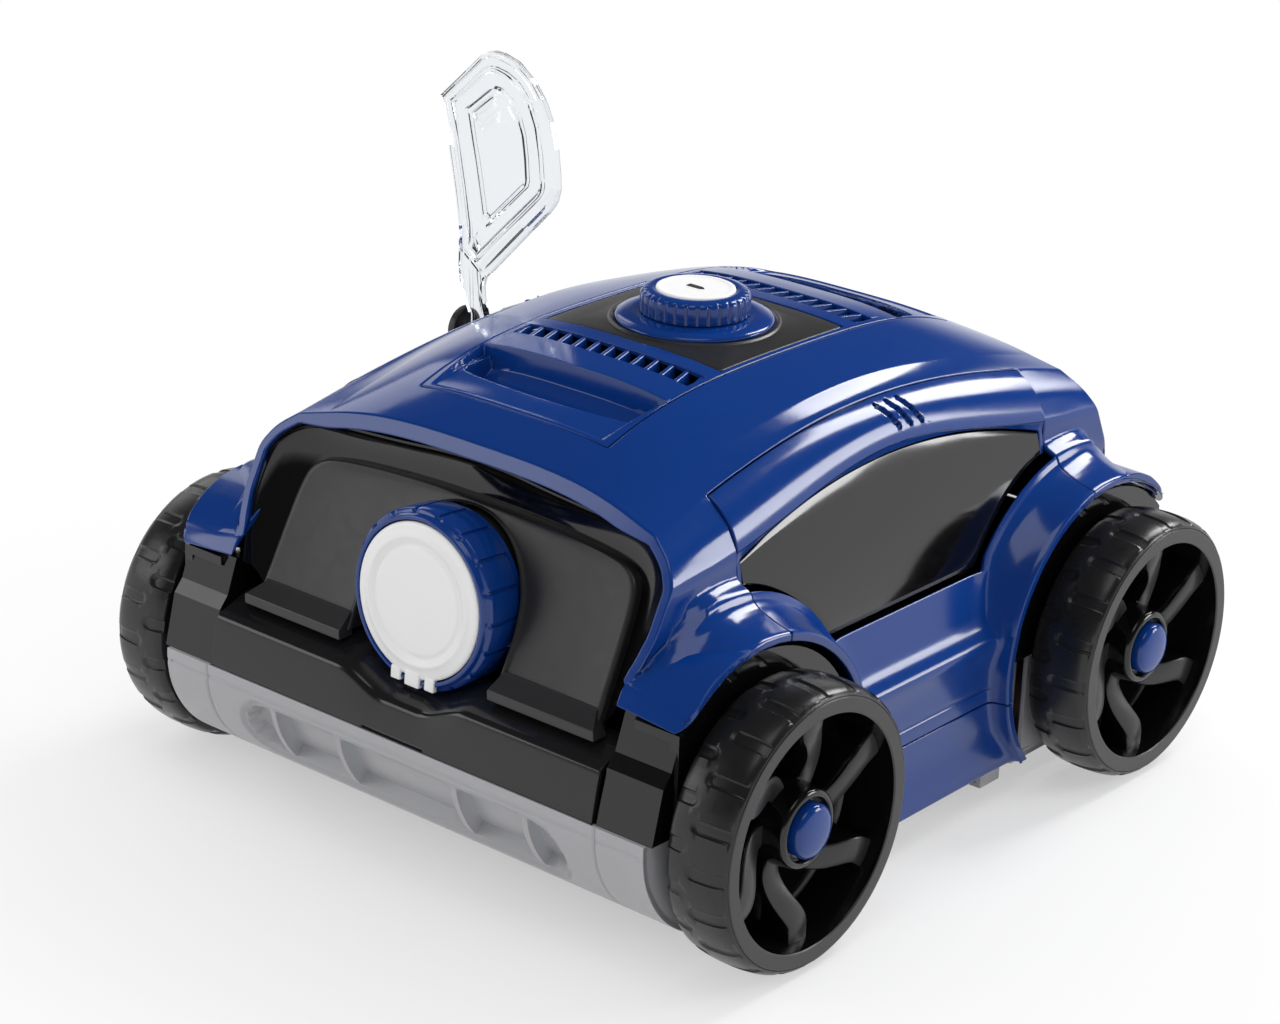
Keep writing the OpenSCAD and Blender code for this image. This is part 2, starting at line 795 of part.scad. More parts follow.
module filter_tray() {
  color(grey) difference() {
    union() {
      difference() {
        tray_solid(0, tray_top);
        tray_solid(tray_t, far);
      }
      both_ends() {
        suction_collar();
        intersection() {
          difference() {
            tray_solid(tray_t - 0.6, tray_top);
            tray_solid(pocket_depth + tray_t, far);
          }
          box([-rib_half - 3, -far, 16], [rib_half + 3, -150, 63]);
        }
      }
      both_sides() latch_lugs();
    }
    both_ends() {
      difference() {
        tray_pockets();
        tray_solid(pocket_depth, far);
      }
      box([-inlet_x, -inlet_at - inlet_y / 2, 0], [inlet_x, -inlet_at + inlet_y / 2, 60]);
      rod_x(-inlet_x - 8, inlet_x + 8, -inlet_at + inlet_y / 2 + inlet_wall + 3, inlet_rim + 3, 1.5 + run);
      both_sides() {
        box([block_out, -axle_y - 8, axle_z - 8], [far, -axle_y + 8, far]);
      }
    }
    both_sides() {
      rod_y(latch_y - 20, latch_y + 20, latch_x, latch_z, latch_pin + run);
    }
  }
}

latch_x = tray_waist - 9;
latch_y = axle_y - arch_r - 2;
latch_z = 9;
latch_pin = 1.4;
latch_w = 16;

// ears under the tray that carry the latch
module latch_lugs() {
  for (y = [latch_y - latch_w / 2 - 3, latch_y + latch_w / 2 + 0.4])
    box([latch_x - 3, y, latch_z - 3], [latch_x + 3, y + 2.6, tray_foot + 1]);
}

module latch() {
  rod_y(latch_y - latch_w / 2 - 3, latch_y + latch_w / 2 + 3, latch_x, latch_z, latch_pin);
  rod_y(latch_y - latch_w / 2, latch_y + latch_w / 2, latch_x, latch_z, 2.6);
  box([latch_x, latch_y - latch_w / 2, latch_z - 2.4], [waist_x + 15, latch_y + latch_w / 2, latch_z]);
  box([waist_x + 12, latch_y - latch_w / 2, latch_z - 2.4],
      [waist_x + 15, latch_y + latch_w / 2, sill_foot - 2 * seam]);
}

module latch_right() {
  color(grey) latch();
}

module latch_left() {
  color(grey) left_side() latch();
}

module suction_flap() {
  y = -inlet_at + inlet_y / 2 + inlet_wall + 3;
  z = inlet_rim + 3;
  rod_x(-inlet_x - 3.4, inlet_x + 3.4, y, z, 1.5);
  box([-inlet_x + 1, -inlet_at - inlet_y / 2 - 2, inlet_rim + seam], [inlet_x - 1, y, inlet_rim + seam + 1.5]);
}

module suction_flap_front() {
  color(black) suction_flap();
}

module suction_flap_rear() {
  color(black) rear_side() suction_flap();
}

frame_half_x = tray_x - 48;
frame_half_y = 112;
frame_low = 66;
strands = 5;

module filter_frame() {
  color(smoke) difference() {
    box([-frame_half_x, -frame_half_y, frame_low], [frame_half_x, frame_half_y, hull_deck]);
    box([-frame_half_x + 5, -frame_half_y + 5, 0], [frame_half_x - 5, frame_half_y - 5, far]);
  }
}

module filter_mesh() {
  color(white) {
    for (i = [-strands:strands]) let (x = i * (frame_half_x - 10) / strands)
      box([x - 0.6, -frame_half_y + 5, frame_low + 1], [x + 0.6, frame_half_y - 5, frame_low + 2]);
    for (i = [-strands:strands]) let (y = i * (frame_half_y - 12) / strands)
      box([-frame_half_x + 5, y - 0.6, frame_low + 2], [frame_half_x - 5, y + 0.6, frame_low + 3]);
  }
}

module filter_seal() {
  x = frame_half_x + seat;
  y = frame_half_y + seat;
  color(black) difference() {
    box([-x - 3.6, -y - 3.6, tray_top], [x + 3.6, y + 3.6, hull_deck]);
    box([-x, -y, 0], [x, y, far]);
  }
}

// ---------------------------------------------------------------- nozzles, duct and motor

duct_height = nozzle_z - 2;
ring_depth = 26;
sleeve_r = duct_r + duct_t;
hinge_y = -flap_r - 1.4;
hinge_z = -1.6;
pin_r = 1.2;
knuckle = 7;

// places children at the front nozzle: +Z points out of it and +Y up
module at_nozzle() {
  translate([0, -nozzle_y, nozzle_z]) rotate([90 - nozzle_lean, 0, 0]) children();
}

notches = 18;

module nozzle_ring() {
  difference() {
    union() {
      translate([0, 0, -ring_depth]) cylinder(ring_depth - 1, ring_r - 0.8, ring_r - 0.8);
      translate([0, 0, -1]) cylinder(1, ring_r - 0.8, ring_r - 1.6);
      for (i = [0:notches - 1]) rotate(360 * i / notches)
        translate([ring_r - 1.4, -5.4, -ring_depth]) cube([1.2, 10.8, ring_depth - 3]);
    }
    translate([0, 0, -ring_depth - 1]) cylinder(ring_depth + 9, duct_r, duct_r);
    translate([0, 0, -3]) cylinder(10, flap_r + 0.5, flap_r + 0.5);
    translate([0, 0, -ring_depth - 1]) cylinder(ring_depth - 5, socket_out + 0.4, socket_out + 0.4);
    translate([-knuckle - seam, hinge_y - 3.2, hinge_z - 3]) cube([2 * (knuckle + seam), 12, 20]);
    translate([-knuckle - 4, hinge_y, hinge_z]) rotate([0, 90, 0]) cylinder(2 * knuckle + 8, pin_r + seat, pin_r + seat);
  }
  // sleeve that turns in the socket
  translate([0, 0, -ring_depth]) difference() {
    cylinder(ring_depth - 6, sleeve_r, sleeve_r);
    translate([0, 0, -1]) cylinder(ring_depth, duct_r, duct_r);
  }
}

socket_in = sleeve_r + run;
socket_out = sleeve_r + 2.4;

module nozzle_flap() {
  difference() {
    union() {
      translate([0, 0, -2.4]) cylinder(2.4, flap_r, flap_r);
      cylinder(0.8, flap_r - 6, flap_r - 7);
      translate([-knuckle, hinge_y, -2.6]) cube([2 * knuckle, 6, 2.6]);
      translate([-knuckle, hinge_y, hinge_z]) rotate([0, 90, 0]) cylinder(2 * knuckle, 2.2, 2.2);
    }
    translate([0, 0, -0.2]) difference() {
      cylinder(2, flap_r - 10.5, flap_r - 9.7);
      translate([0, 0, -1]) cylinder(4, flap_r - 13.5, flap_r - 14.3);
    }
    for (s = [-1, 1]) translate([s * (knuckle + 2.2) - 2.2, -flap_r - 1, -4]) cube([4.4, 3.4, 8]);
    translate([-knuckle - 1, hinge_y, hinge_z]) rotate([0, 90, 0]) cylinder(2 * knuckle + 2, pin_r + run, pin_r + run);
  }
}

module flap_pin() {
  translate([-knuckle - 3, hinge_y, hinge_z]) rotate([0, 90, 0]) cylinder(2 * knuckle + 6, pin_r, pin_r);
}

module nozzle_ring_front() {
  color(blue) at_nozzle() nozzle_ring();
}

module nozzle_ring_rear() {
  color(blue) rear_side() at_nozzle() nozzle_ring();
}

module nozzle_flap_front() {
  color(white) at_nozzle() nozzle_flap();
}

module nozzle_flap_rear() {
  color(white) rear_side() at_nozzle() nozzle_flap();
}

module flap_pin_front() {
  color(steel) at_nozzle() flap_pin();
}

module flap_pin_rear() {
  color(steel) rear_side() at_nozzle() flap_pin();
}

duct_end = nozzle_y - ring_depth - 12;
throat_r = duct_r - 1;

module pump_duct() {
  color(black) difference() {
    union() {
      rod_y(-duct_end, duct_end, 0, duct_height, duct_r + duct_t);
      both_ends() at_nozzle() translate([0, 0, -ring_depth - 14]) cylinder(ring_depth + 6, socket_out, socket_out);
    }
    rod_y(-duct_end - 1, duct_end + 1, 0, duct_height, duct_r);
    both_ends() at_nozzle() translate([0, 0, -ring_depth - seam]) cylinder(ring_depth * 2, socket_in, socket_in);
    both_ends() at_nozzle() translate([0, 0, -ring_depth - 20]) cylinder(30, throat_r, throat_r);
    box([-intake_x + 4, -intake_y + 2, 0], [intake_x - 4, intake_y - 2, duct_height]);
  }
}

motor_half = 42;
motor_arm = sqrt(pow(duct_r - seat, 2) - 4);

module motor_can() {
  color(steel) difference() {
    union() {
      rod_y(-motor_half, motor_half, 0, duct_height, motor_r);
      for (y = [-motor_half + 4, motor_half - 8]) for (a = [90, 210, 330])
        translate([0, y, duct_height]) rotate([0, -a, 0]) translate([motor_r - 2, 0, -2])
          cube([motor_arm - motor_r + 2, 4, 4]);
    }
    rod_y(-motor_half - 1, motor_half + 1, 0, duct_height, shaft_r + run);
  }
}

shaft_half = prop_at + 14;

module drive_shaft() {
  color(steel) rod_y(-shaft_half, shaft_half, 0, duct_height, shaft_r);
}

prop_len = 18;
prop_hub = 8;
blades = 3;

module propeller() {
  translate([0, -prop_at, duct_height]) rotate([90, 0, 0]) difference() {
    union() {
      translate([0, 0, -prop_len / 2]) cylinder(prop_len, prop_hub, prop_hub - 2);
      intersection() {
        translate([0, 0, -prop_len / 2]) cylinder(prop_len, duct_r - 1.5, duct_r - 1.5);
        for (i = [0:blades - 1]) rotate(360 * i / blades)
          rotate([38, 0, 0]) translate([0, -9, -1]) cube([duct_r, 18, 2]);
      }
    }
    translate([0, 0, -prop_len]) cylinder(2 * prop_len, shaft_r + seat, shaft_r + seat);
  }
}

module propeller_front() {
  color(black) propeller();
}

module propeller_rear() {
  color(black) rear_side() propeller();
}

module shaft_seals() {
  color(black) both_ends() difference() {
    rod_y(-motor_half - 3, -motor_half, 0, duct_height, 7);
    rod_y(-motor_half - 4, 0, 0, duct_height, shaft_r + run);
  }
}

battery_in = block_in - 59;
battery_out = block_in + 6;

module battery_pack() {
  color(green) left_side() box([battery_in + seam, -58, hull_deck + 3], [battery_out - seam, 58, 108]);
}

module circuit_board() {
  color(green) {
    box([battery_in + seam, -50, hull_deck + 8], [battery_out - seam, 50, hull_deck + 9.6]);
    for (y = [-40, 0, 32]) box([battery_in + 10, y, hull_deck + 9], [battery_in + 34, y + 12, hull_deck + 18]);
    for (x = [battery_in + 4, battery_out - 8]) for (y = [-46, 42])
      box([x, y, hull_deck + 3], [x + 4, y + 4, hull_deck + 8.5]);
  }
}

socket_x = mouth_x - 41;
socket_z = 136;
socket_r = 9;
plug_r = 4;

module charging_socket() {
  y = opening_y(socket_z) - panel_back - 9;
  color(black) difference() {
    rod_y(y - 10, y + 8, socket_x, socket_z, socket_r);
    rod_y(y - 4, y + 9, socket_x, socket_z, plug_r);
  }
}

// ---------------------------------------------------------------- wheels

// places children at a wheel: +Z points out of its outer face, 0 at the inner face
module at_wheel(sx, sy) {
  mirror([sx < 0 ? 1 : 0, 0, 0]) translate([wheel_in, sy * axle_y, axle_z]) rotate([0, 90, 0]) children();
}

module tyre() {
  w = wheel_w;
  r = wheel_r;
  rotate_extrude($fn = 128) polygon([
    [rim_r + seat, 1], [r - 3.4, 0.6], [r - 1.4, 2], [r - 0.5, 6], [r, 13], [r, 20], [r - 0.5, 27],
    [r - 1.6, w - 2.4], [r - 3, w - 0.6], [r - 4.4, w], [rim_r + 4.6, w], [rim_r + 4.4, w - 2.6],
    [rim_r + seat, w - 2.6]
  ]);
}

// one curved spoke as a band of the given width, in the wheel's plane
module spoke(width) {
  n = 8;
  r0 = hub_r - 3;
  r1 = rim_r - 2;
  mid = [for (i = [0:n]) let (t = i / n, a = 16 * sin(180 * t) + 24 * t) mix(r0, r1, t) * [cos(a), sin(a)]];
  function side(i) = let (d = unit(mid[min(i + 1, n)] - mid[max(i - 1, 0)])) [-d[1], d[0]] * width / 2;
  polygon(concat([for (i = [0:n]) mid[i] + side(i)], [for (i = [n:-1:0]) mid[i] - side(i)]));
}

hub_face = wheel_w - 4;

module rim() {
  w = wheel_w;
  difference() {
    union() {
      difference() {
        union() {
          translate([0, 0, 2]) cylinder(w - 2.4, rim_r, rim_r);
          translate([0, 0, w - 2.3]) cylinder(2.3, rim_r + 4, rim_r + 4);
        }
        translate([0, 0, 4.5]) cylinder(w, rim_r - 3, rim_r - 3);
      }
      translate([0, 0, 2]) cylinder(hub_face - 2, hub_r, hub_r);
      for (i = [0:spokes - 1]) rotate(360 * i / spokes)
        translate([0, 0, 12]) linear_extrude(10) intersection() {
          spoke(10);
          circle(rim_r - 1);
        }
    }
    translate([0, 0, hub_face - 5]) cylinder(10, cap_r + 1.5, cap_r + 1.5);
    translate([0, 0, -1]) cylinder(w + 5, axle_r + run, axle_r + run);
  }
}

module wheel_cap() {
  t = 5;
  bulge = 2.6;
  big = (cap_r * cap_r + bulge * bulge) / (2 * bulge);
  translate([0, 0, hub_face - 5]) {
    cylinder(t, cap_r, cap_r);
    intersection() {
      translate([0, 0, t + bulge - big]) sphere(big);
      translate([0, 0, t - 0.5]) cylinder(20, cap_r, cap_r);
    }
  }
}

module tyre_front_left() {
  color(black) at_wheel(-1, -1) tyre();
}

module tyre_front_right() {
  color(black) at_wheel(1, -1) tyre();
}

module tyre_rear_left() {
  color(black) at_wheel(-1, 1) tyre();
}

module tyre_rear_right() {
  color(black) at_wheel(1, 1) tyre();
}

module rim_front_left() {
  color(black) at_wheel(-1, -1) rim();
}

module rim_front_right() {
  color(black) at_wheel(1, -1) rim();
}

module rim_rear_left() {
  color(black) at_wheel(-1, 1) rim();
}

module rim_rear_right() {
  color(black) at_wheel(1, 1) rim();
}

module wheel_cap_front_left() {
  color(blue) at_wheel(-1, -1) wheel_cap();
}

module wheel_cap_front_right() {
  color(blue) at_wheel(1, -1) wheel_cap();
}

module wheel_cap_rear_left() {
  color(blue) at_wheel(-1, 1) wheel_cap();
}

module wheel_cap_rear_right() {
  color(blue) at_wheel(1, 1) wheel_cap();
}

module axles() {
  color(steel) both_ends() both_sides() rod_x(block_in + 4, wheel_in + hub_face - 5.3, -axle_y, axle_z, axle_r);
}

// ---------------------------------------------------------------- paddle

fin_plate_x = [fin_x - 57, fin_x + 22];
fin_foot = 7;
fin_shaft_r = 3;
ear_r = 11;

// outline of the paddle in X and Z, with the hinge at [fin_x, 0] and X towards the body's left side
module fin_outline() {
  h = fin_h;
  x = fin_x;
  polygon([
    [x + 6, 0], [x + 6, 30], [x + 14, 75], [x + 20, 102], [x + 22, 119], [x + 2, h - 3], [x - 8, h],
    [x - 30, h - 8], [x - 44, h - 18], [x - 53, h - 34], [x - 57, h - 52], [x - 57, 84], [x - 54, 80],
    [x - 6, 34], [x - 6, 0]
  ]);
}

module fin_paddle() {
  color(clear) left_side() translate([0, 0, fin_z]) difference() {
    union() {
      along_y(-fin_t / 2, fin_t / 2) fin_outline();
      rod_x(fin_x - 7, fin_x + 7, 0, 0, fin_foot);
    }
    rod_x(fin_x - 20, fin_x + 20, 0, 0, fin_shaft_r + seat);
  }
}

module fin_shaft() {
  color(steel) left_side() rod_x(fin_x - 13.4, fin_x + 13.4, 0, fin_z, fin_shaft_r);
}

module fin_bracket() {
  band = half_section(0);
  color(black) left_side() difference() {
    union() {
      for (x = [fin_x - 12, fin_x + 8]) {
        rod_x(x, x + 4, 0, fin_z, ear_r);
        box([x, -ear_r, fin_z - 14], [x + 4, ear_r, fin_z]);
      }
      // saddle on the band above the window
      along_y(-ear_r, ear_r) polygon([
        band[8], band[9], band[10] + [0.2, 4], [lip_x + 3, fin_z - 14], [fin_x + 12, fin_z - 14],
        [fin_x + 12, fin_z - 8.5], [fin_x - 8, fin_z - 8.5], [fin_x - 8, fin_z + 4], band[9] + [3, 5], band[8] + [1, 1.5]
      ]);
    }
    rod_x(fin_x - 30, fin_x + 30, 0, fin_z, fin_shaft_r + run);
  }
}

hood();
side_panel_left();
side_panel_right();
sill_left();
sill_right();
window_left();
window_right();
front_panel();
rear_panel();
bumper_front();
bumper_rear();
lower_hull();
filter_tray();
filter_frame();
filter_mesh();
filter_seal();
top_deck();
top_panel();
knob_flange();
knob();
knob_disc();
switch_shaft();
switch_body();
fin_bracket();
fin_paddle();
fin_shaft();
nozzle_ring_front();
nozzle_ring_rear();
nozzle_flap_front();
nozzle_flap_rear();
flap_pin_front();
flap_pin_rear();
pump_duct();
motor_can();
drive_shaft();
propeller_front();
propeller_rear();
shaft_seals();
battery_pack();
circuit_board();
tyre_front_left();
tyre_front_right();
tyre_rear_left();
tyre_rear_right();
rim_front_left();
rim_front_right();
rim_rear_left();
rim_rear_right();
wheel_cap_front_left();
wheel_cap_front_right();
wheel_cap_rear_left();
wheel_cap_rear_right();
axles();
latch_left();
latch_right();
suction_flap_front();
suction_flap_rear();
charging_socket();
case_screws();
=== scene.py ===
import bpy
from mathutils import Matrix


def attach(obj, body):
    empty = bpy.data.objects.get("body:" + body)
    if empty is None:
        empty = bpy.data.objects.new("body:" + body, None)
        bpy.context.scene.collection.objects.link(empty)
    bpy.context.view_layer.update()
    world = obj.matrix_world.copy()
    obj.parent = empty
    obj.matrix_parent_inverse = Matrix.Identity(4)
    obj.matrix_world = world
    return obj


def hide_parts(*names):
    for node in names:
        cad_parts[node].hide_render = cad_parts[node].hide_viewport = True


bl_info = {
    "name": "Pool cleaner",
    "version": (1, 0, 0),
    "blender": (4, 5, 0),
    "location": "3D View > Sidebar > Pool cleaner",
    "description": "Builds the looks of a jet-driven pool cleaner on its packed parts",
    "category": "Object",
}

import itertools
import math

import bmesh
import bpy
import numpy as np
from mathutils import Matrix, Vector

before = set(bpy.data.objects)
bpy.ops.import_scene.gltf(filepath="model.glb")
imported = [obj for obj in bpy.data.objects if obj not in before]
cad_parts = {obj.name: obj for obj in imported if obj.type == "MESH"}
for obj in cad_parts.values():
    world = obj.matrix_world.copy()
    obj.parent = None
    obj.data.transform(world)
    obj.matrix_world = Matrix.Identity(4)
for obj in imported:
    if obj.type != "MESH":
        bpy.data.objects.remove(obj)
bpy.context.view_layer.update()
MM = 0.001

# places and sizes in millimetres; the cleaner's middle is x 0, y 0, and the floor is z 0
AXLE_Y, AXLE_Z = 135.0, 66.0
WHEEL_X = 155.0  # inner face of the wheels
ARCH_R, LIP_R, FENDER_EDGE_R = 76.0, 79.6, 91.8  # the fender's arch, the back of its lip and its outer edge
FENDER_SIDE = 155.0
SEAM_Y = 118.0  # seam between the side panel and the hood's corner
OPENING_LEAN = math.radians(27)
RIDGE_X = 91.0
DECK_X, DECK_END = 56.8, 1.355  # half width of the deck and the hood's row that it ends at
WINDOW_FOOT = 115.0
TRAY_FLOOR = 12.0
TRAY_RIBS = (-78, -36, 36, 78)
DEEP_WELL = 10.0  # a finger well deeper than this has upright walls, and its inside is painted gloss black as painted shade
HOOD_WALL, SIDE_WALL, DECK_WALL = 3.0, 2.6, 2.4
WHITE = (1, 1, 1, 1)


# ---------------------------------------------------------------- small mathematics


def smoothstep(low, high, value):
    """0 at low and 1 at high with soft ends; low may be the larger."""
    t = np.clip((value - low) / (high - low), 0.0, 1.0)
    return t * t * (3.0 - 2.0 * t)


def smooth_max(a, b, k):
    """The larger of two values, with a blend about k wide where they meet."""
    return (a + b + np.sqrt((a - b) ** 2 + k * k)) / 2.0


def mix(a, b, t):
    """The value a share t of the way from a to b."""
    return a + (b - a) * t


def resampled(points, count):
    """The same line with count points at equal steps along it."""
    points = np.asarray(points, float)
    run = np.concatenate([[0], np.cumsum(np.linalg.norm(np.diff(points, axis=0), axis=1))])
    at = np.linspace(0, run[-1], count)
    return np.stack([np.interp(at, run, points[:, k]) for k in range(points.shape[1])], axis=1)


def catmull_rom(points, per_span):
    """A smooth line through the points."""
    p = np.asarray(points, float)
    held = np.concatenate([p[:1], p, p[-1:]])
    out = []
    for a, b, c, d in zip(held, held[1:], held[2:], held[3:]):
        for t in np.linspace(0, 1, per_span, endpoint=False):
            bend = (2 * a - 5 * b + 4 * c - d) * t ** 2 + (3 * b - a - 3 * c + d) * t ** 3
            out.append(0.5 * (2 * b + (c - a) * t + bend))
    return np.array([*out, p[-1]])


def grid_normals(grid):
    """Unit normals of a grid of points, pointing outward for rows that run with the columns."""
    across = np.gradient(grid, axis=0)
    along = np.gradient(grid, axis=1)
    normal = np.cross(across, along)
    return normal / np.maximum(np.linalg.norm(normal, axis=2, keepdims=True), 1e-9)


# ---------------------------------------------------------------- points and faces


def cells(rows, cols, wrap_rows=False, wrap_cols=False, keep=None):
    """Quads of a grid whose points are numbered row by row."""
    out = []
    for i in range(rows if wrap_rows else rows - 1):
        for j in range(cols if wrap_cols else cols - 1):
            if keep is None or keep[i, j]:
                k, m = (i + 1) % rows, (j + 1) % cols
                out.append((i * cols + j, k * cols + j, k * cols + m, i * cols + m))
    return out


def kept_cells(rows, cols, dropped):
    """Which cells of a grid of points stay: all but those that dropped(row, column) picks."""
    return np.array([[not dropped(i, j) for j in range(cols - 1)] for i in range(rows - 1)])


def thick_sheet(outer, inner, keep=None, wrap_cols=False):
    """Points and faces of a closed sheet between two grids, with walls along every open edge."""
    rows, cols = outer.shape[:2]
    top = cells(rows, cols, False, wrap_cols, keep)
    n = rows * cols
    edges = {(f[k], f[(k + 1) % 4]) for f in top for k in range(4)}
    walls = [(b, a, a + n, b + n) for a, b in edges if (b, a) not in edges]
    under = [tuple(v + n for v in reversed(f)) for f in top]
    return np.concatenate([outer.reshape(-1, 3), inner.reshape(-1, 3)]), top + under + walls


def solid(rings, hoop=False):
    """Points and faces over closed rings of points; the ends are capped or, in a hoop, meet each other."""
    grid = np.array(rings, float)
    rows, count = grid.shape[:2]
    faces = cells(rows, count, hoop, True)
    if not hoop:
        faces += [tuple(range(count)), tuple(reversed(range((rows - 1) * count, rows * count)))]
    return grid.reshape(-1, 3), faces


def turned(profile, angles, sunk):
    """A closed profile of rows (radius, height, ...) turned about Z; sunk(row, angle) lowers the radius."""
    rings = []
    for row in profile:
        radii = [row[0] - sunk(row, a) for a in angles]
        rings.append([(r * math.cos(a), r * math.sin(a), row[1]) for r, a in zip(radii, angles)])
    return solid(rings, hoop=True)


def lathe(profile, segments):
    """Points and faces of a closed profile of (radius, height) turned about Z."""
    return turned(profile, np.linspace(0, 2 * math.pi, segments, endpoint=False), lambda row, angle: 0.0)


def slab(*spans):
    """Points and faces of a plain block between two x, two y and two z."""
    points = np.array(list(itertools.product(*(sorted(span) for span in spans))))
    return points, [(0, 1, 3, 2), (4, 6, 7, 5), (0, 4, 5, 1), (2, 3, 7, 6), (0, 2, 6, 4), (1, 5, 7, 3)]


def joined(*parts):
    """Several sets of points and faces as one."""
    points, faces, start = [], [], 0
    for p, f in parts:
        points.append(np.asarray(p, float))
        faces += [tuple(v + start for v in face) for face in f]
        start += len(p)
    return np.concatenate(points), faces


def moved(part, matrix):
    """The points of a part placed by a 4x4 matrix in millimetres."""
    m = np.array(matrix)
    return np.asarray(part[0]) @ m[:3, :3].T + m[:3, 3], part[1]


def mirrored(part, sx=1, sy=1):
    """A part mirrored to the other side or end; faces are turned again when the piece is made."""
    return np.asarray(part[0]) * [sx, sy, 1], part[1]


# ---------------------------------------------------------------- finishes


def linear(colour):
    """Linear RGBA from an sRGB hex colour."""
    parts = [int(colour[k:k + 2], 16) / 255 for k in (1, 3, 5)]
    return tuple(c / 12.92 if c <= 0.04045 else ((c + 0.055) / 1.055) ** 2.4 for c in parts) + (1.0,)


def add(tree, kind, inputs=None, **settings):
    """A new shader node with its settings and its inputs, each a value or another node's output."""
    node = tree.nodes.new(kind)
    for key, value in settings.items():
        setattr(node, key, value)
    for key, value in (inputs or {}).items():
        if isinstance(value, bpy.types.NodeSocket):
            tree.links.new(value, node.inputs[key])
        else:
            node.inputs[key].default_value = value
    return node


def per_mm(size):
    """Texture scale for a pattern of that many millimetres, in metres of object space."""
    return 1.0 / (size * MM)


def moulded(name, colour, rough, spread, patch_mm, grain_mm, grain, tone, **sockets):
    """A material whose tone and gloss drift from place to place and whose skin carries a fine grain."""
    material = bpy.data.materials.new(name)
    material.use_nodes = True
    tree = material.node_tree
    shader = tree.nodes["Principled BSDF"]
    place = add(tree, "ShaderNodeTexCoord").outputs["Object"]
    patch = add(tree, "ShaderNodeTexNoise", {"Vector": place, "Scale": per_mm(patch_mm), "Detail": 4.0})
    smear = add(tree, "ShaderNodeTexNoise", {
        "Vector": place, "Scale": per_mm(9), "Detail": 5.0, "Distortion": 1.2,
    })
    base = linear(colour)
    darker = tuple(c * (1 - tone) for c in base[:3]) + (1.0,)
    lighter = tuple(min(1.0, c * (1 + tone)) for c in base[:3]) + (1.0,)
    tint = add(tree, "ShaderNodeMix", {0: patch.outputs["Fac"], 6: darker, 7: lighter}, data_type="RGBA")
    gloss = add(tree, "ShaderNodeMapRange", {
        "Value": smear.outputs["Fac"], "From Min": 0.32, "From Max": 0.72,
        "To Min": max(0.0, rough - spread), "To Max": rough + spread,
    })
    fine = add(tree, "ShaderNodeTexNoise", {"Vector": place, "Scale": per_mm(grain_mm), "Detail": 3.0})
    bump = add(tree, "ShaderNodeBump", {"Height": fine.outputs["Fac"], "Distance": grain * MM})
    tree.links.new(tint.outputs[2], shader.inputs["Base Color"])
    tree.links.new(gloss.outputs["Result"], shader.inputs["Roughness"])
    tree.links.new(bump.outputs["Normal"], shader.inputs["Normal"])
    for key, value in sockets.items():
        shader.inputs[key.replace("_", " ")].default_value = value
    return material


MATERIALS = {}


def make_materials(colours):
    """All finishes of the cleaner, by short name."""
    m = MATERIALS
    # moulded in a polished tool: a deep colour, with a faint orange peel in its reflections
    m["body"] = moulded("Gloss moulded ABS", colours.body, 0.13, 0.02, 60, 2.2, 0.003, 0.03, IOR=1.52)
    # the same resin off a spark-eroded tool: reflections break up into a soft sheen
    m["satin"] = moulded("Satin textured ABS", colours.trim, 0.36, 0.025, 45, 0.7, 0.010, 0.05, IOR=1.5)
    # black parts off polished tools, the bumpers a little duller
    m["gloss"] = moulded("Polished black ABS", colours.gloss, 0.1, 0.02, 50, 2.5, 0.003, 0.05, IOR=1.53)
    m["rim"] = moulded("Gloss black nylon", colours.gloss, 0.12, 0.03, 40, 2.0, 0.003, 0.05, IOR=1.53)
    m["bumper"] = moulded("Moulded black ABS", colours.bumper, 0.15, 0.02, 60, 0.9, 0.006, 0.05, IOR=1.5)
    # dyed right through and flat on both sides
    m["window"] = moulded("Smoked polycarbonate", colours.window, 0.1, 0.012, 80, 3.0, 0.002, 0.03, IOR=1.58)
    # unpainted, so a little light gets in below its skin
    m["tray"] = moulded(
        "Grey polypropylene", colours.tray, 0.36, 0.06, 55, 0.8, 0.008, 0.04,
        Subsurface_Weight=0.12, Subsurface_Scale=0.004,
    )
    # off blasted tools: the wheels' broad faces and the white flaps; the panels' ledges also take this
    # lighter grey as painted light from above
    m["face"] = moulded("Matt black nylon", "#2B2B2D", 0.34, 0.03, 30, 0.5, 0.006, 0.06, IOR=1.5)
    m["white"] = moulded("White moulded ABS", colours.flap, 0.34, 0.015, 50, 1.2, 0.002, 0.006, IOR=1.5)
    # cured in bare steel moulds, so matt with a fine tooth
    m["tyre"] = moulded("Vulcanised rubber", colours.tyre, 0.3, 0.04, 30, 0.6, 0.010, 0.08, IOR=1.5)
    m["rubber"] = moulded("Black silicone rubber", "#161616", 0.5, 0.08, 30, 0.6, 0.01, 0.1)
    # turned or drawn and left bare
    m["steel"] = moulded("Turned stainless steel", "#C4C6C8", 0.28, 0.08, 14, 0.4, 0.006, 0.04, Metallic=1.0)
    # inside: film shrunk over the cells, a lacquered board and cloth woven from thread
    m["wrap"] = moulded("Heat-shrunk PVC wrap", "#1E4F8C", 0.3, 0.08, 20, 1.5, 0.02, 0.08)
    m["board"] = moulded("Solder-masked glass laminate", "#1F5A33", 0.35, 0.08, 12, 0.6, 0.01, 0.1)
    m["mesh"] = moulded("Woven nylon mesh", "#E8E8E4", 0.5, 0.06, 10, 0.5, 0.01, 0.06)
    # clear sheet: light passes with a slight bend and the thick edges catch it
    m["clear"] = moulded(
        "Clear polycarbonate", colours.clear, 0.04, 0.02, 60, 3.0, 0.003, 0.01, IOR=1.585,
        Transmission_Weight=1.0,
    )


# ---------------------------------------------------------------- pieces


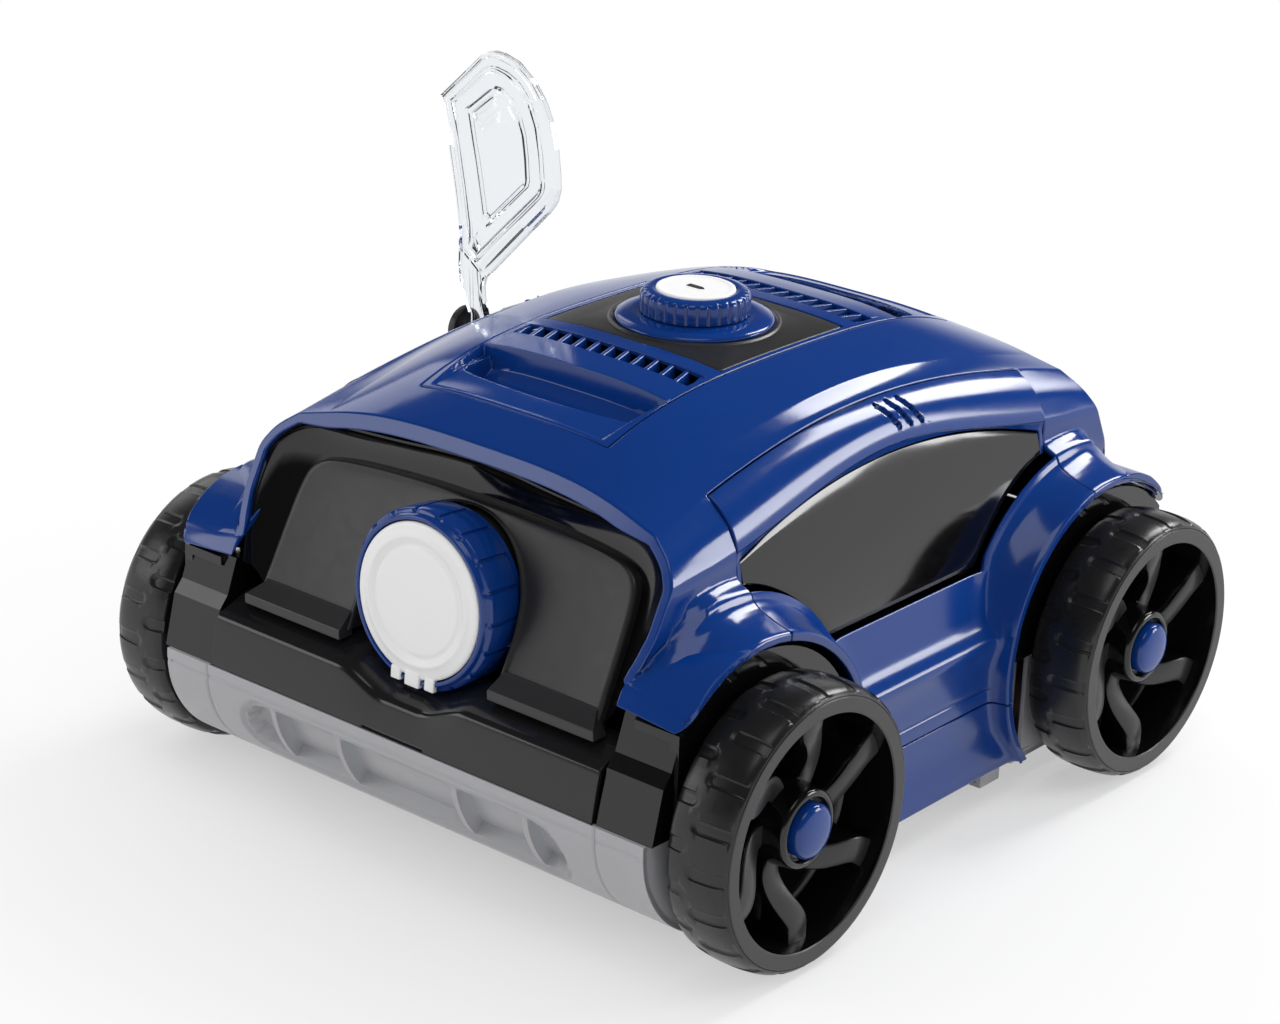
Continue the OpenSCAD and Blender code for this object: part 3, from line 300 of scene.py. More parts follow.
def make_piece(name, part, finish, node, body="chassis", soft=0, segments=2, angle=33, spare=None):
    """A shown piece, from points and faces in millimetres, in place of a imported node.

    Its sharp edges are rounded by soft millimetres, but for those that spare picks.
    """
    mesh = bpy.data.meshes.new(name)
    mesh.from_pydata([tuple(p) for p in np.asarray(part[0]) * MM], [], part[1])
    work = bmesh.new()
    work.from_mesh(mesh)
    bmesh.ops.remove_doubles(work, verts=work.verts, dist=2e-6)
    bmesh.ops.dissolve_degenerate(work, edges=work.edges, dist=1e-6)
    bmesh.ops.delete(work, geom=[v for v in work.verts if not v.link_faces], context="VERTS")
    bmesh.ops.recalc_face_normals(work, faces=work.faces)
    if spare:
        weight = work.edges.layers.float.new("bevel_weight_edge")
        for edge in work.edges:
            if len(edge.link_faces) == 2 and edge.calc_face_angle() > math.radians(angle):
                edge[weight] = 0.0 if spare(edge.verts[0].co / MM) else 1.0
    work.to_mesh(mesh)
    work.free()
    mesh.shade_smooth()
    mesh.set_sharp_from_angle(angle=math.radians(angle + 10))
    mesh.materials.append(MATERIALS[finish])
    piece = bpy.data.objects.new(name.replace(" ", "_"), mesh)
    bpy.context.scene.collection.objects.link(piece)
    if soft:
        round_edges(piece, soft, segments, angle)
        if spare:
            piece.modifiers["Rounded edges"].limit_method = "WEIGHT"
    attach(piece, body)
    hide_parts(node)
    return piece


def face_finish(piece, finish, test):
    """Gives a second finish to the faces whose centre in millimetres and normal pass the test."""
    piece.data.materials.append(MATERIALS[finish])
    for face in piece.data.polygons:
        if test(face.center / MM, face.normal):
            face.material_index = 1


def round_edges(piece, width, segments=2, angle=33):
    """Rounds the sharp edges of a piece and keeps its broad faces flat in the light."""
    bevel = piece.modifiers.new("Rounded edges", "BEVEL")
    bevel.width = width * MM
    bevel.segments = segments
    bevel.limit_method = "ANGLE"
    bevel.angle_limit = math.radians(angle)
    bevel.use_clamp_overlap = False
    bevel.harden_normals = True
    bevel.miter_outer = "MITER_ARC"


def soften_node(node, width):
    """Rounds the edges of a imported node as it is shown."""
    weld = node.modifiers.new("Weld", "WELD")
    weld.merge_threshold = 2e-6
    flat = node.modifiers.new("Flat faces", "DECIMATE")
    flat.decimate_type = "DISSOLVE"
    flat.angle_limit = math.radians(0.6)
    round_edges(node, width, 3)
    node.modifiers["Rounded edges"].use_clamp_overlap = True


# ---------------------------------------------------------------- forms of the body


def opening(z):
    """Distance of the front and rear openings' plane from the middle at a height."""
    return 186.0 - (z - 124.0) * math.tan(OPENING_LEAN)


def crease_point(s):
    """Half width and height of the crease between the crown and the side; s is 1 at the openings."""
    return 101.5 + 6 * s * s, 207.3 - 21.8 * s * s


def lip_point(s):
    """Half width and height of the lip that the side band ends in, above the window."""
    q = math.sin(math.pi * min(s, 1.0) / 2) ** 2
    return 118 + 7 * q, 189 - 20.5 * q


def top_point(col, s):
    """Half width and height: over the crown for col up to 1, then down the band to the crease at 2."""
    crown = 222 - 25 * s ** 4.4
    ridge = 213 - 23.5 * s ** 1.9
    if col <= 1:
        return RIDGE_X * col, crown - (crown - ridge) * col ** 3.15
    x, z = crease_point(s)
    down = col - 1
    hollow = 1.55 - 0.55 * smoothstep(0.62, 1.0, s)
    return mix(RIDGE_X, x, down), ridge - (ridge - z) * (1 - (1 - down) ** hollow)


def row_y(row, z):
    """Distance from the middle: rows up to 1 run straight across, those up to 2 lean towards the opening."""
    a = abs(row)
    y = SEAM_Y * a if a <= 1 else SEAM_Y + (opening(z) - SEAM_Y) * (a - 1)
    return math.copysign(y, row)


def on_form(row, form):
    """A point of a section form, given as a function of s, at that row."""
    z = 200.0
    for _ in range(16):
        x, z = form(min(abs(row_y(row, z)) / opening(z), 1.0))
    return np.array([x, row_y(row, z), z])


def top_at(col, row):
    """A point of the hood's top; col is negative on the left side."""
    x, y, z = on_form(row, lambda s: top_point(abs(col), s))
    return np.array([-x if col < 0 else x, y, z])


FENDER_R = np.array([70, 76, 79.6, 80.2, 81.2, 82.5, 84.2, 86.2, 87.9, 88.6, 91.0, 92.4, 95, 110])
FENDER_X = np.array([155, 155, 155, 154.4, 149.8, 144.8, 139.8, 135.6, 133.4, 132.8, 131.8, 130.0, 122, -50])


def fender_radius(y, z):
    """Distance from the axle, stretched beyond the arch where the fender thins towards the opening."""
    a = np.abs(y)
    stretch = 1 + 5 * np.clip((a - 148) / 39, 0, 1) ** 1.6
    return ARCH_R + (np.hypot(a - AXLE_Y, z - AXLE_Z) - ARCH_R) * stretch


def turned_in(y, start):
    """How far the fender's side rounds in towards the opening, from start outward."""
    t = np.clip((np.abs(y) - start) / 10, 0, 1)
    return 10 * (1 - np.sqrt(1 - t * t))


def fender_reach(y, z):
    """Half width of the fender above the wheel."""
    return np.minimum(np.interp(fender_radius(y, z), FENDER_R, FENDER_X), FENDER_SIDE - turned_in(y, 178))


def wall_reach(y, z):
    """Half width of the body's own wall below the crease."""
    s = min(abs(y) / opening(z), 1.0)
    q = s * s
    (cx, cz), (lx, lz), foot = crease_point(s), lip_point(s), 124.0
    heights = [cz, mix(cz, lz, 0.46), lz, lz - 9, mix(lz, foot, 0.45), mix(lz, foot, 0.74), foot]
    reach = [cx, mix(cx, lx, 0.5) + 2.6, lx]
    reach += [mix(middle, end, q) for middle, end in ((122, 125), (126, 125), (128, 122), (131, 117))]
    return np.interp(z, heights[::-1], reach[::-1])


# ---------------------------------------------------------------- hood


def corner_line(row, count):
    """Points from the crease down to the fender's lip at a row beyond the seam."""
    crease = on_form(row, crease_point)
    low, high = (math.asin(y / ARCH_R) for y in (SEAM_Y - AXLE_Y, 52.1))
    phi = mix(low, high, abs(row) - 1)
    share = np.linspace(0, 1, 240)
    y = mix(abs(crease[1]), AXLE_Y + ARCH_R * math.sin(phi), share)
    z = mix(crease[2], AXLE_Z + ARCH_R * math.cos(phi), share)
    wall = np.array([wall_reach(a, b) for a, b in zip(y, z)])
    # a running mean takes the corners off the wall's line, which is carried on past both ends for it
    padded = np.concatenate([2 * wall[0] - wall[12:0:-1], wall, 2 * wall[-1] - wall[-2:-14:-1]])
    wall = np.convolve(padded, np.ones(25) / 25, "valid")
    line = np.stack([smooth_max(wall, fender_reach(y, z), 5.0), y, z], axis=1)
    turn = int(np.argmax(fender_radius(y, z) <= LIP_R))
    out = np.concatenate([resampled(line[:turn + 1], count - 3), resampled(line[turn:], 4)[1:]])
    out[:, 1] *= math.copysign(1, row)
    return out


def hood_rows():
    """Rows of the hood from the front opening to the rear one, close together near both."""
    ends = [1.12, 1.25, DECK_END, 1.5, 1.62, 1.74, 1.85, 1.92, 1.965, 2.0]
    return [-r for r in reversed(ends)] + list(np.linspace(-1, 1, 41)) + ends


def fender_tip():
    """The thick flat flange that runs out of the fender's lip to the corner of the opening."""
    rings = []
    for t in np.linspace(0, 1, 26):
        ring = []
        for end, at_side, high in ((188.9, 0, 0), (188.9, 1, 0), (185.8, 1, 1), (185.8, 0, 1)):
            y = mix(146, end, t)
            z = AXLE_Z + math.sqrt(ARCH_R ** 2 - (y - AXLE_Y) ** 2)
            if high:
                z += np.interp(y, [146, 160, 170, 178, 185.8], [3.9, 4.9, 4.6, 3.2, 1.7])
            else:
                z -= 1.4 * smoothstep(170, 188.9, y)
            x = FENDER_SIDE + 0.15 - turned_in(y, 177.5 if high else 180) if at_side else 117.2
            ring.append((x, y, z + 0.08 * max(150 - x, 0) * t))
        rings.append(ring)
    return solid(rings)


def build_hood(sizes):
    """The shell from opening to opening, open over the deck and between the seams, and its fender tips."""
    rows = hood_rows()
    side_count = 52
    crown = [1, 0.993, 0.97, 0.94, 0.87, 0.78, 0.7, DECK_X / RIDGE_X, 0.5, 0.38, 0.25, 0.12, 0]
    left = [-c for c in [2, 1.9, 1.75, 1.6, 1.46, 1.33, 1.22, 1.13, 1.06] + crown]
    cols = left + [-c for c in left[-2::-1]]
    first = side_count - 1
    last = first + len(cols)
    outer = np.zeros((len(rows), last + first, 3))
    for i, row in enumerate(rows):
        outer[i, first:last] = [top_at(c, row) for c in cols]
        if abs(row) >= 1 - 1e-9:
            line = corner_line(math.copysign(max(abs(row), 1.0), row), side_count)
        else:
            line = outer[i, last - 1] + np.arange(side_count)[:, None] * np.array([[0.9, 0, -0.8]])
        outer[i, last:] = line[1:]
        outer[i, :first] = (line[1:] * [-1, 1, 1])[::-1]
    normal = -grid_normals(outer)
    normal[normal[:, :, 2] < -0.9] *= -1
    across = np.abs(outer[:, :, 0])
    rim = 8 - 3 * smoothstep(85, 112, across) + smoothstep(140, 150, across)
    rim = np.where(across > 128, np.minimum(rim, 4.0), rim)
    thick = np.full(across.shape, HOOD_WALL)
    sides = [*range(first), *range(last, last + first)]
    for i, row in enumerate(rows):
        end = math.copysign(1, row)
        if abs(abs(row) - 1) < 1e-9:
            normal[i, sides] = normal[i + int(end), sides]
        if abs(row) > 1.9:
            thick[i] = rim[i]
        if abs(row) > 1.99:
            # the rim's end face lies in the opening's plane
            facing = np.array([0, end * math.cos(OPENING_LEAN), math.sin(OPENING_LEAN)])
            flat = normal[i] - (normal[i] @ facing)[:, None] * facing
            normal[i] = flat / np.linalg.norm(flat, axis=1, keepdims=True)

    def dropped(i, k):
        row = abs(rows[i] + rows[i + 1]) / 2
        if k < first or k >= last - 1:
            return row < 1
        return abs(outer[i, k, 0] + outer[i, k + 1, 0]) / 2 < DECK_X and row < DECK_END

    keep = kept_cells(*across.shape, dropped)
    shell = thick_sheet(outer, outer - normal * thick[:, :, None], keep)
    make_piece("Hood shell", shell, "body", "hood", soft=sizes.edge, segments=3)
    tips = joined(*(mirrored(fender_tip(), sx, sy) for sx in (1, -1) for sy in (1, -1)))
    make_piece("Fender tips", tips, "body", "hood", soft=0.7, segments=3, angle=40)


# ---------------------------------------------------------------- side panels, windows and sills


def window_top(y):
    """Height of the window's upper edge."""
    return 185 - 19 * (y / SEAM_Y) ** 2


def window_foot(y):
    """Height of the window's lower edge: level in the middle, then round the fender."""
    if abs(y) <= 58:
        return WINDOW_FOOT
    return max(WINDOW_FOOT, AXLE_Z + math.sqrt(max(FENDER_EDGE_R ** 2 - (AXLE_Y - abs(y)) ** 2, 0)))


def window_reach(z):
    """Half width of the bulging window at a height."""
    down = (183 - z) / 68
    return 117 + 13 * down + 3.0 * np.sin(np.clip(down, 0, 1) * math.pi)


STRIP_Z = np.array([50, 59.0, 59.7, 60.0, 60.3, 61.0, 70, 77, 82, 85.5, 88, 92, 104, 115, 118])
STRIP_X = np.array(
    [146, 146, 145.4, 145.2, 145.4, 146, 146, 146.6, 147.8, 147.4, 145.0, 141.2, 137.2, 133.6, 133.0]
)


def seam_angle(radius, height=None):
    """Angle from upright, about the axle, of the seam or of a height on that radius, towards the middle."""
    if height is None:
        return math.asin((SEAM_Y - 0.15 - AXLE_Y) / radius)
    return -math.acos((height - AXLE_Z) / radius)


def side_base(y, z):
    """Half width of the side behind the fender: the strip below the window, the window's plane beside it."""
    if z <= WINDOW_FOOT:
        return float(np.interp(z, STRIP_Z, STRIP_X))
    plane = max(window_reach(z) + 0.7, 133.6 - (z - WINDOW_FOOT) * 0.9)
    return mix(plane, wall_reach(y, z), float(smoothstep(92, 118, abs(y))))


def side_grid(z_rows, base, ring_rows=0):
    """Points across the side between both arches and which cells stay.

    Ring columns follow the fenders at both ends, plain ones fill the middle, and further
    ring rows carry the ends up round the wheel to the seam.
    """
    ring = [76, 77.8, LIP_R, 80.2, 80.8, 81.6, 82.6, 84, 85.2, 86.4, 87.4, 88.2, 88.8, 90.2, FENDER_EDGE_R]
    middle = 26
    rows = []
    for z in z_rows:
        left = [math.sqrt(r * r - (z - AXLE_Z) ** 2) - AXLE_Y for r in ring]
        ys = left + list(np.linspace(left[-1], -left[-1], middle + 2)[1:-1]) + [-v for v in reversed(left)]
        rows.append([(y, z) for y in ys])
    for k in range(1, ring_rows + 1):
        turns = [mix(seam_angle(r, WINDOW_FOOT), seam_angle(r), k / ring_rows) for r in ring]
        line = [(-(AXLE_Y + r * math.sin(a)), AXLE_Z + r * math.cos(a)) for r, a in zip(ring, turns)]
        y, z = line[-1]
        span = [(mix(y, -y, (j + 1) / (middle + 1)), z) for j in range(middle)]
        rows.append(line + span + [(-y, z) for y, z in reversed(line)])

    def reach(y, z):
        return smooth_max(base(y, z), float(fender_reach(y, z)), 4.0)

    grid = np.array([[(reach(y, z), y, z) for y, z in line] for line in rows])
    keep = np.ones((len(rows) - 1, grid.shape[1] - 1), bool)
    keep[len(z_rows) - 1:, len(ring) - 1:len(ring) + middle] = False
    return grid, keep


def outward_x(grid):
    """Normals of a side grid, turned to the right side."""
    normal = grid_normals(grid)
    flip = np.sign(normal[:, :, 0:1])
    flip[flip == 0] = 1
    return normal * flip


def side_sheet(grid, keep=None, wall=SIDE_WALL):
    """A sheet of even thickness behind a side grid."""
    return thick_sheet(grid, grid - outward_x(grid) * wall, keep)


def slot_depth(y, b):
    """How deep the three slanted slots sink at a place on the side band."""
    run, rise = 7.0, 13.5
    down = (b - 0.22) * 27
    deepest = 0.0
    for start in (1.0, 9.4, 17.8):
        along = np.clip(((y - start) * run + down * rise) / (run ** 2 + rise ** 2), 0, 1)
        off = math.hypot(y - start - run * along, down - rise * along)
        deepest = max(deepest, 3.2 * float(smoothstep(1.95, 1.25, off)))
    return deepest


def band_grid():
    """Side panel from the crease over its lip to the window's top edge and, at the ends, to the arch."""
    wide = [-110 + 4.8 * k for k in range(23)] + [32 + 4.875 * k for k in range(17)]
    seams = [s * v for s in (-1, 1) for v in (113, 115, 116.4, 117.85)]
    ys = sorted({*wide, *seams, *np.arange(-1.6, 28, 0.55)})
    shares = [0.02, 0.08, 0.13] + [0.17 + 0.022 * k for k in range(28)] + [0.8, 0.86, 0.92, 0.965, 1.0]
    rows = []
    for y in ys:
        crease, lip = (on_form(y / SEAM_Y, form) for form in (crease_point, lip_point))
        line = []
        for b in shares:
            swell, sunk = 4 * b * (1 - b), slot_depth(y, b)
            x = mix(crease[0] + 0.3, lip[0], b) + 2.6 * swell - 0.72 * sunk
            line.append((x, y, mix(crease[2] - 0.2, lip[2], b) + 2.4 * swell - 0.69 * sunk))
        foot = window_top(y) + 0.5
        foot_x = window_reach(foot) + 1.4
        for t in (0.06, 0.4, 0.7, 1.0):
            line.append((mix(lip[0] - 0.4, foot_x - 0.8, t), y, mix(lip[2], foot, t)))
        low = foot - 6
        if abs(y) > 100:
            low = AXLE_Z + math.sqrt((FENDER_EDGE_R + 0.1) ** 2 - (AXLE_Y - min(abs(y), SEAM_Y)) ** 2)
        for t in (0.25, 0.5, 0.75, 1.0):
            z = mix(foot, low, t)
            x = side_base(y, z) if abs(y) > 110 else foot_x
            line.append((mix(foot_x, x, min(1, t * 2)), y, z))
        rows.append(line)
    grid = np.array(rows)
    at_window = len(shares) + 3
    keep = kept_cells(*grid.shape[:2], lambda i, j: j >= at_window and abs(ys[i] + ys[i + 1]) / 2 < 115)
    return grid, keep


def window_grid():
    """Points over the window; its upper and lower edges round off."""
    middle, end = np.linspace(-54, 54, 23), np.linspace(58, 114.7, 20)
    grid = []
    for y in np.concatenate([-end[::-1], middle, end]):
        top, foot = window_top(y) - 0.5, window_foot(y) + 0.6
        line = []
        for t in np.linspace(0, 1, 16):
            z = mix(top, foot, t)
            edge = 0.5 * (1 - math.sqrt(1 - max(0, 1 - min(t, 1 - t) / 0.07) ** 2))
            line.append((window_reach(z) - edge, y, z))
        grid.append(line)
    return np.array(grid)


def build_sides(sizes):
    """Both side panels with their bands, sills and windows."""
    strip_rows = [
        52.35, 53.2, 56, 58.6, 59.3, 60.0, 60.7, 61.4, 65, 70, 74, 78, 81, 83, 85, 86.2, 87.4, 88.8, 90.5, 93,
        98, 104, 110, 114.2, WINDOW_FOOT,
    ]
    sill_z = [17, 17.6, 19, 21.5, 24, 27, 30, 33, 36, 40, 46, 51, 51.75]
    sill_x = [150.6, 151.6, 152, 151.6, 150.9, 149.9, 148.9, 147.8, 146.9, 146.4, 146.1, 146, 146]
    band = side_sheet(*band_grid())
    panel = side_sheet(*side_grid(strip_rows, side_base, 10))
    sill = side_sheet(*side_grid(sill_z, lambda y, z: float(np.interp(z, sill_z, sill_x))))
    glass = side_sheet(window_grid(), wall=2.5)
    soft = sizes.edge * 0.6
    for side, sx in (("right", 1), ("left", -1)):
        node = f"side_panel_{side}"
        make_piece(
            f"Side panel band {side}", mirrored(band, sx), "body", node, soft=soft, angle=30,
            spare=lambda at: -2 < at.y < 28 and at.z > 191,
        )
        make_piece(f"Side panel {side}", mirrored(panel, sx), "body", node, soft=soft)
        make_piece(f"Sill {side}", mirrored(sill, sx), "body", f"sill_{side}", soft=soft)
        make_piece(f"Side window {side}", mirrored(glass, sx), "window", f"window_{side}", soft=0.4)


# ---------------------------------------------------------------- wheels


def wheel_place(side, end):
    """Places a wheel drawn about Z, outer face up, at its axle."""
    sx = 1 if side == "right" else -1
    sy = 1 if end == "rear" else -1
    return Matrix(((0, 0, sx, sx * WHEEL_X), (0, 1, 0, sy * AXLE_Y), (1, 0, 0, AXLE_Z), (0, 0, 0, 1)))


def tyre_shape():
    """A crowned tyre with two staggered rows of sunken slots, drawn about Z."""
    count, tread_r, gap = 20, 66, 3.0
    pitch = 2 * math.pi / count
    near = [-3.3, -2.95, -2.6, -1.5, 0, 1.5, 2.6, 2.95, 3.3]
    angles = np.sort([k * pitch / 2 + v / tread_r for k in range(2 * count) for v in near])

    def sunk(row, angle):
        radius, width = row
        deepest = 0.0
        for start, low, high in ((0.0, 13.2, 40.0), (0.5, -9.0, 12.2)):
            off = ((angle / pitch - start + 0.5) % 1.0 - 0.5) * pitch * tread_r
            reach = max(low + gap - width, width - (high - gap), 0.0)
            deepest = max(deepest, float(smoothstep(0.3, -0.25, math.hypot(off, reach) - gap)))
        return 0.9 * deepest * float(smoothstep(0.2, 2.2, radius - 62))

    crown = catmull_rom([
        (62.0, 32.4), (63.4, 31.2), (64.7, 28.6), (65.6, 24), (66, 17.5), (65.8, 10), (65.1, 4.5),
        (63.9, 1.6), (62.6, 0.7),
    ], 7)
    bead = [(57.4, 1.0), (57.4, 30.4), (61.6, 30.5), (61.6, 32.4)]
    return turned([*crown, *bead], angles, sunk)


def spoke(turn):
    """One hooked spoke from the hub to the rim; its broad top dives towards the hub."""
    stations = np.linspace(0, 1, 34)
    radius = mix(15.0, 54.8, stations)
    angle = np.radians(turn - 29 * (1 - smoothstep(0.08, 0.8, stations)))
    mid = np.stack([radius * np.sin(angle), radius * np.cos(angle)], axis=1)
    along = np.gradient(mid, axis=0)
    along /= np.linalg.norm(along, axis=1, keepdims=True)
    rings = []
    for t, (x, y), (dx, dy) in zip(stations, mid, along):
        top = 16.8 + 9.2 * smoothstep(0.12, 0.78, t)
        half = 5.6 + 0.9 * smoothstep(0.45, 1.0, t) - 0.8 * smoothstep(0.3, 0.0, t)
        edge = [
            (half + 1.3, 6), (half + 0.7, top - 4.5), (half + 0.35, top - 1.4), (half - 0.1, top - 0.5),
            (half - 0.9, top),
        ]
        section = [(-v, h) for v, h in edge] + [(0, top + 0.1)] + edge[::-1]
        rings.append([(x - dy * v, y + dx * v, h) for v, h in section])
    return solid(rings)


def build_wheels(sizes):
    """Four wheels, each a tyre, a rim, its spokes and a cap."""
    tyre = tyre_shape()
    rim = lathe([
        (57.2, 1.6), (57.2, 30.2), (61.3, 30.3), (61.4, 32.4), (60.9, 32.9), (54.7, 32.9), (54.1, 32.4),
        (53.9, 30), (53.2, 24), (52.5, 12), (51.5, 8), (48.5, 6.2), (40, 5.4), (26, 5.2), (21.5, 6.4),
        (20.0, 9), (19.0, 20), (18.7, 24.8), (18.3, 26.2), (17.5, 27.2), (16.4, 27.6), (15.3, 27.5),
        (14.6, 26.7), (14.3, 25.4), (14.2, 22.6), (6.4, 22.4), (6.4, 2.2), (24, 2), (54, 1.6),
    ], 144)
    cap = lathe([
        (6.6, 22.8), (12.4, 22.8), (12.6, 28.4), (12.35, 29.6), (11.6, 30.7), (10.2, 31.5), (7.4, 32.2),
        (3.6, 32.55), (0.0, 32.65), (0.0, 22.8),
    ], 72)
    spokes = joined(*(spoke(28 + 360 * k / sizes.spokes) for k in range(sizes.spokes)))
    for side in ("right", "left"):
        for end in ("front", "rear"):
            place, key = wheel_place(side, end), f"{end}_{side}"
            body, node = f"wheel_{key}", f"rim_{key}"
            make_piece(f"Tyre {end} {side}", moved(tyre, place), "tyre", f"tyre_{key}", body, angle=38)
            piece = make_piece(f"Rim {end} {side}", moved(rim, place), "rim", node, body, soft=0.25)
            face_finish(piece, "face", lambda at, normal: abs(normal.x) > 0.7 and abs(at.x) > 187)
            piece = make_piece(f"Spokes {end} {side}", moved(spokes, place), "rim", node, body, angle=26)
            face_finish(piece, "face", lambda at, normal: abs(normal.x) > 0.72 and abs(at.x) > 165)
            make_piece(f"Wheel cap {end} {side}", moved(cap, place), "body", f"wheel_cap_{key}", body)


# ---------------------------------------------------------------- nozzles and flaps


def nozzle_place(end):
    """Places a nozzle drawn about Z, face up, top towards local X, at its opening."""
    lean = math.radians(4)
    sy = 1 if end == "rear" else -1
    out = Vector((0, sy * math.cos(lean), math.sin(lean)))
    up = Vector((0, -sy * math.sin(lean), math.cos(lean)))
    side = up.cross(out) if sy < 0 else out.cross(up)
    place = Matrix((up, side, out)).transposed().to_4x4()
    place.translation = (0, sy * 187, 132.8)
    return place


def notched_ring(profile, count, depth, gap):
    """A turned ring whose outside carries raised pads with thin gaps between them."""
    pitch = 2 * math.pi / count
    near = [-gap / 2 - 0.008, -gap / 2, gap / 2, gap / 2 + 0.008] + [v * pitch for v in (0.2, 0.4, 0.6, 0.8)]
    angles = np.sort(np.mod([pitch * (k + 0.5) + v for k in range(count) for v in near], 2 * math.pi))

    def sunk(row, angle):
        off = ((angle / pitch) % 1.0 - 0.5) * pitch
        return depth * row[2] if abs(off) < gap / 2 + 0.002 else 0.0

    return turned(profile, angles, sunk)


def build_nozzles(sizes):
    """Both nozzles: a ring with raised pads and a hinged flap."""
    ring = notched_ring([
        (36.9, -0.6, 0), (37.5, -0.2, 0), (38.4, -0.2, 0), (39.2, -0.9, 0), (39.4, -2.6, 0),
        (40.0, -3.0, 0.4), (41.2, -3.3, 1), (41.8, -4.1, 1), (41.9, -13, 1), (41.7, -20.6, 1),
        (41.2, -21.4, 1), (40.0, -21.7, 0.2), (39.4, -22.2, 0), (39.4, -25.6, 0), (38.8, -26, 0),
        (34.6, -26, 0), (34.4, -14, 0), (36.7, -4, 0),
    ], 18, 1.0, 0.035)
    flap = lathe([*catmull_rom([(0, 0.75), (14, 0.72), (23.5, 0.6)], 4)] + [
        (24.4, 0.55), (25.0, 0.1), (25.5, -0.25), (26.3, -0.25), (26.8, 0.1), (27.3, 0.62), (28.6, 0.72),
        (29.0, 1.15), (30.2, 1.2), (30.7, 0.75), (33.6, 0.45), (35.3, 0.1), (36.0, -0.5), (36.2, -1.3),
        (35.8, -2.1), (34.4, -2.3), (0, -2.3),
    ], 128)
    tabs = joined(
        slab((-40.2, -33.0), (-4.4, 4.4), (-2.2, 0.9)),
        *(slab((-39.6, -33.4), (sy * 13.2, sy * 7.4), (-2.2, 0.6)) for sy in (-1, 1)),
    )
    for end in ("front", "rear"):
        place, node, body = nozzle_place(end), f"nozzle_flap_{end}", f"flap_{end}"
        ring_node, ring_body = f"nozzle_ring_{end}", f"nozzle_{end}"
        make_piece(f"Nozzle ring {end}", moved(ring, place), "body", ring_node, ring_body, angle=40)
        make_piece(f"Nozzle flap {end}", moved(flap, place), "white", node, body, angle=50)
        make_piece(f"Flap hinge tabs {end}", moved(tabs, place), "white", node, body, soft=0.7, segments=3)


# ---------------------------------------------------------------- end panels and bumpers

MOUTH = [
    (113.0, 118), (116.5, 128), (119.5, 140), (121.0, 152), (119.8, 165), (115.4, 173.2), (106, 179.8),
    (92.5, 183.2), (70, 184.6), (44, 186.2), (20, 188), (0, 188.6),
]
PANEL = [
    (103.0, 104.4), (102.6, 116), (102.2, 128), (101.6, 140), (100.6, 152), (98.2, 160.6), (92.0, 165.6),
    (82, 167.8), (66, 169.3), (44, 170.6), (22, 171.4), (0, 171.6),
]
SHOE = [
    (45.4, 104.4), (45.4, 110), (45.4, 117), (45.0, 127), (42.6, 139), (38.0, 148.2), (32.0, 155.8),
    (25.0, 161.6), (18.0, 165.4), (11.6, 167.7), (5.8, 168.7), (0, 169),
]


def leaned(line, depth):
    """Points of an outline laid on a plane that lies depth behind the front opening."""
    return [(x, -(opening(z) - depth / math.cos(OPENING_LEAN)), z) for x, z in line]


def arch(points, count):
    """Both halves of an arch outline as one line of points from right foot to left foot."""
    right = catmull_rom(points, 8)
    right = right[[int(round(k)) for k in np.linspace(0, len(right) - 1, count)]]
    return np.concatenate([right, (right * [-1, 1])[-2::-1]])


def ledge(sx):
    """The shelf with a chamfered front along the foot of one half of an end panel."""
    outline = [
        (-181.0, 112.6), (-182.3, 111.4), (-190.2, 105.9), (-190.6, 104.9), (-190.4, 101), (-181.5, 101)
    ]
    rings = []
    for x_top, x_foot in ((101.6, 107.0), (46.6, 45.4)):
        rings.append([(sx * (x_top if z > 108 else x_foot), y, z) for y, z in outline])
    return solid(rings)


def build_end_panels(sizes):
    """The panels inside both openings: a gloss frame, a satin field round the nozzle and two ledges."""
    mouth, panel, shoe = (arch(points, 45) for points in (MOUTH, PANEL, SHOE))
    frame_depths = [
        (-0.06, 3.2), (0.0, 3.4), (0.02, 4.4), (0.08, 6.4), (0.2, 8.4), (0.4, 10.6), (0.6, 12.2), (0.8, 13.4),
        (1.0, 14.0), (1.05, 14.4),
    ]
    field_depths = [
        (-0.014, 14.2), (-0.012, 11.0), (-0.006, 10.0), (0.01, 9.6), (0.04, 9.7), (0.2, 10.3), (0.4, 10.6),
        (0.6, 10.8), (0.8, 10.8), (0.94, 10.7), (0.962, 10.6), (0.972, 9.9), (0.99, 9.7), (1.0, 10.2),
        (1.006, 12.0), (1.008, 40),
    ]
    strip = np.array([leaned(mix(mouth, panel, share), depth) for share, depth in frame_depths])
    field = np.array([leaned(mix(panel, shoe, share), depth) for share, depth in field_depths])
    behind = np.array([0, math.cos(OPENING_LEAN), -math.sin(OPENING_LEAN)])
    field_back = field + behind * 2.0
    # where the field turns straight back round the nozzle, its thickness lies outward
    field_back[-3:] -= behind * 1.8
    field_back[-3:, :, 0] *= 1.02
    field_back[-3:, :, 2] += 0.8
    frame_sheet, field_sheet = thick_sheet(strip, strip + behind * 1.6), thick_sheet(field, field_back)
    ledges = joined(ledge(1), ledge(-1))
    for end, sy in (("front", 1), ("rear", -1)):
        node = f"{end}_panel"
        make_piece(f"Panel frame {end}", mirrored(frame_sheet, 1, sy), "gloss", node, angle=50)
        make_piece(f"End panel {end}", mirrored(field_sheet, 1, sy), "satin", node, angle=50)
        # painted light: the ledges take the lighter matt grey to stand for the light falling on their tops
        make_piece(f"Panel ledges {end}", mirrored(ledges, 1, sy), "face", node, soft=0.5)


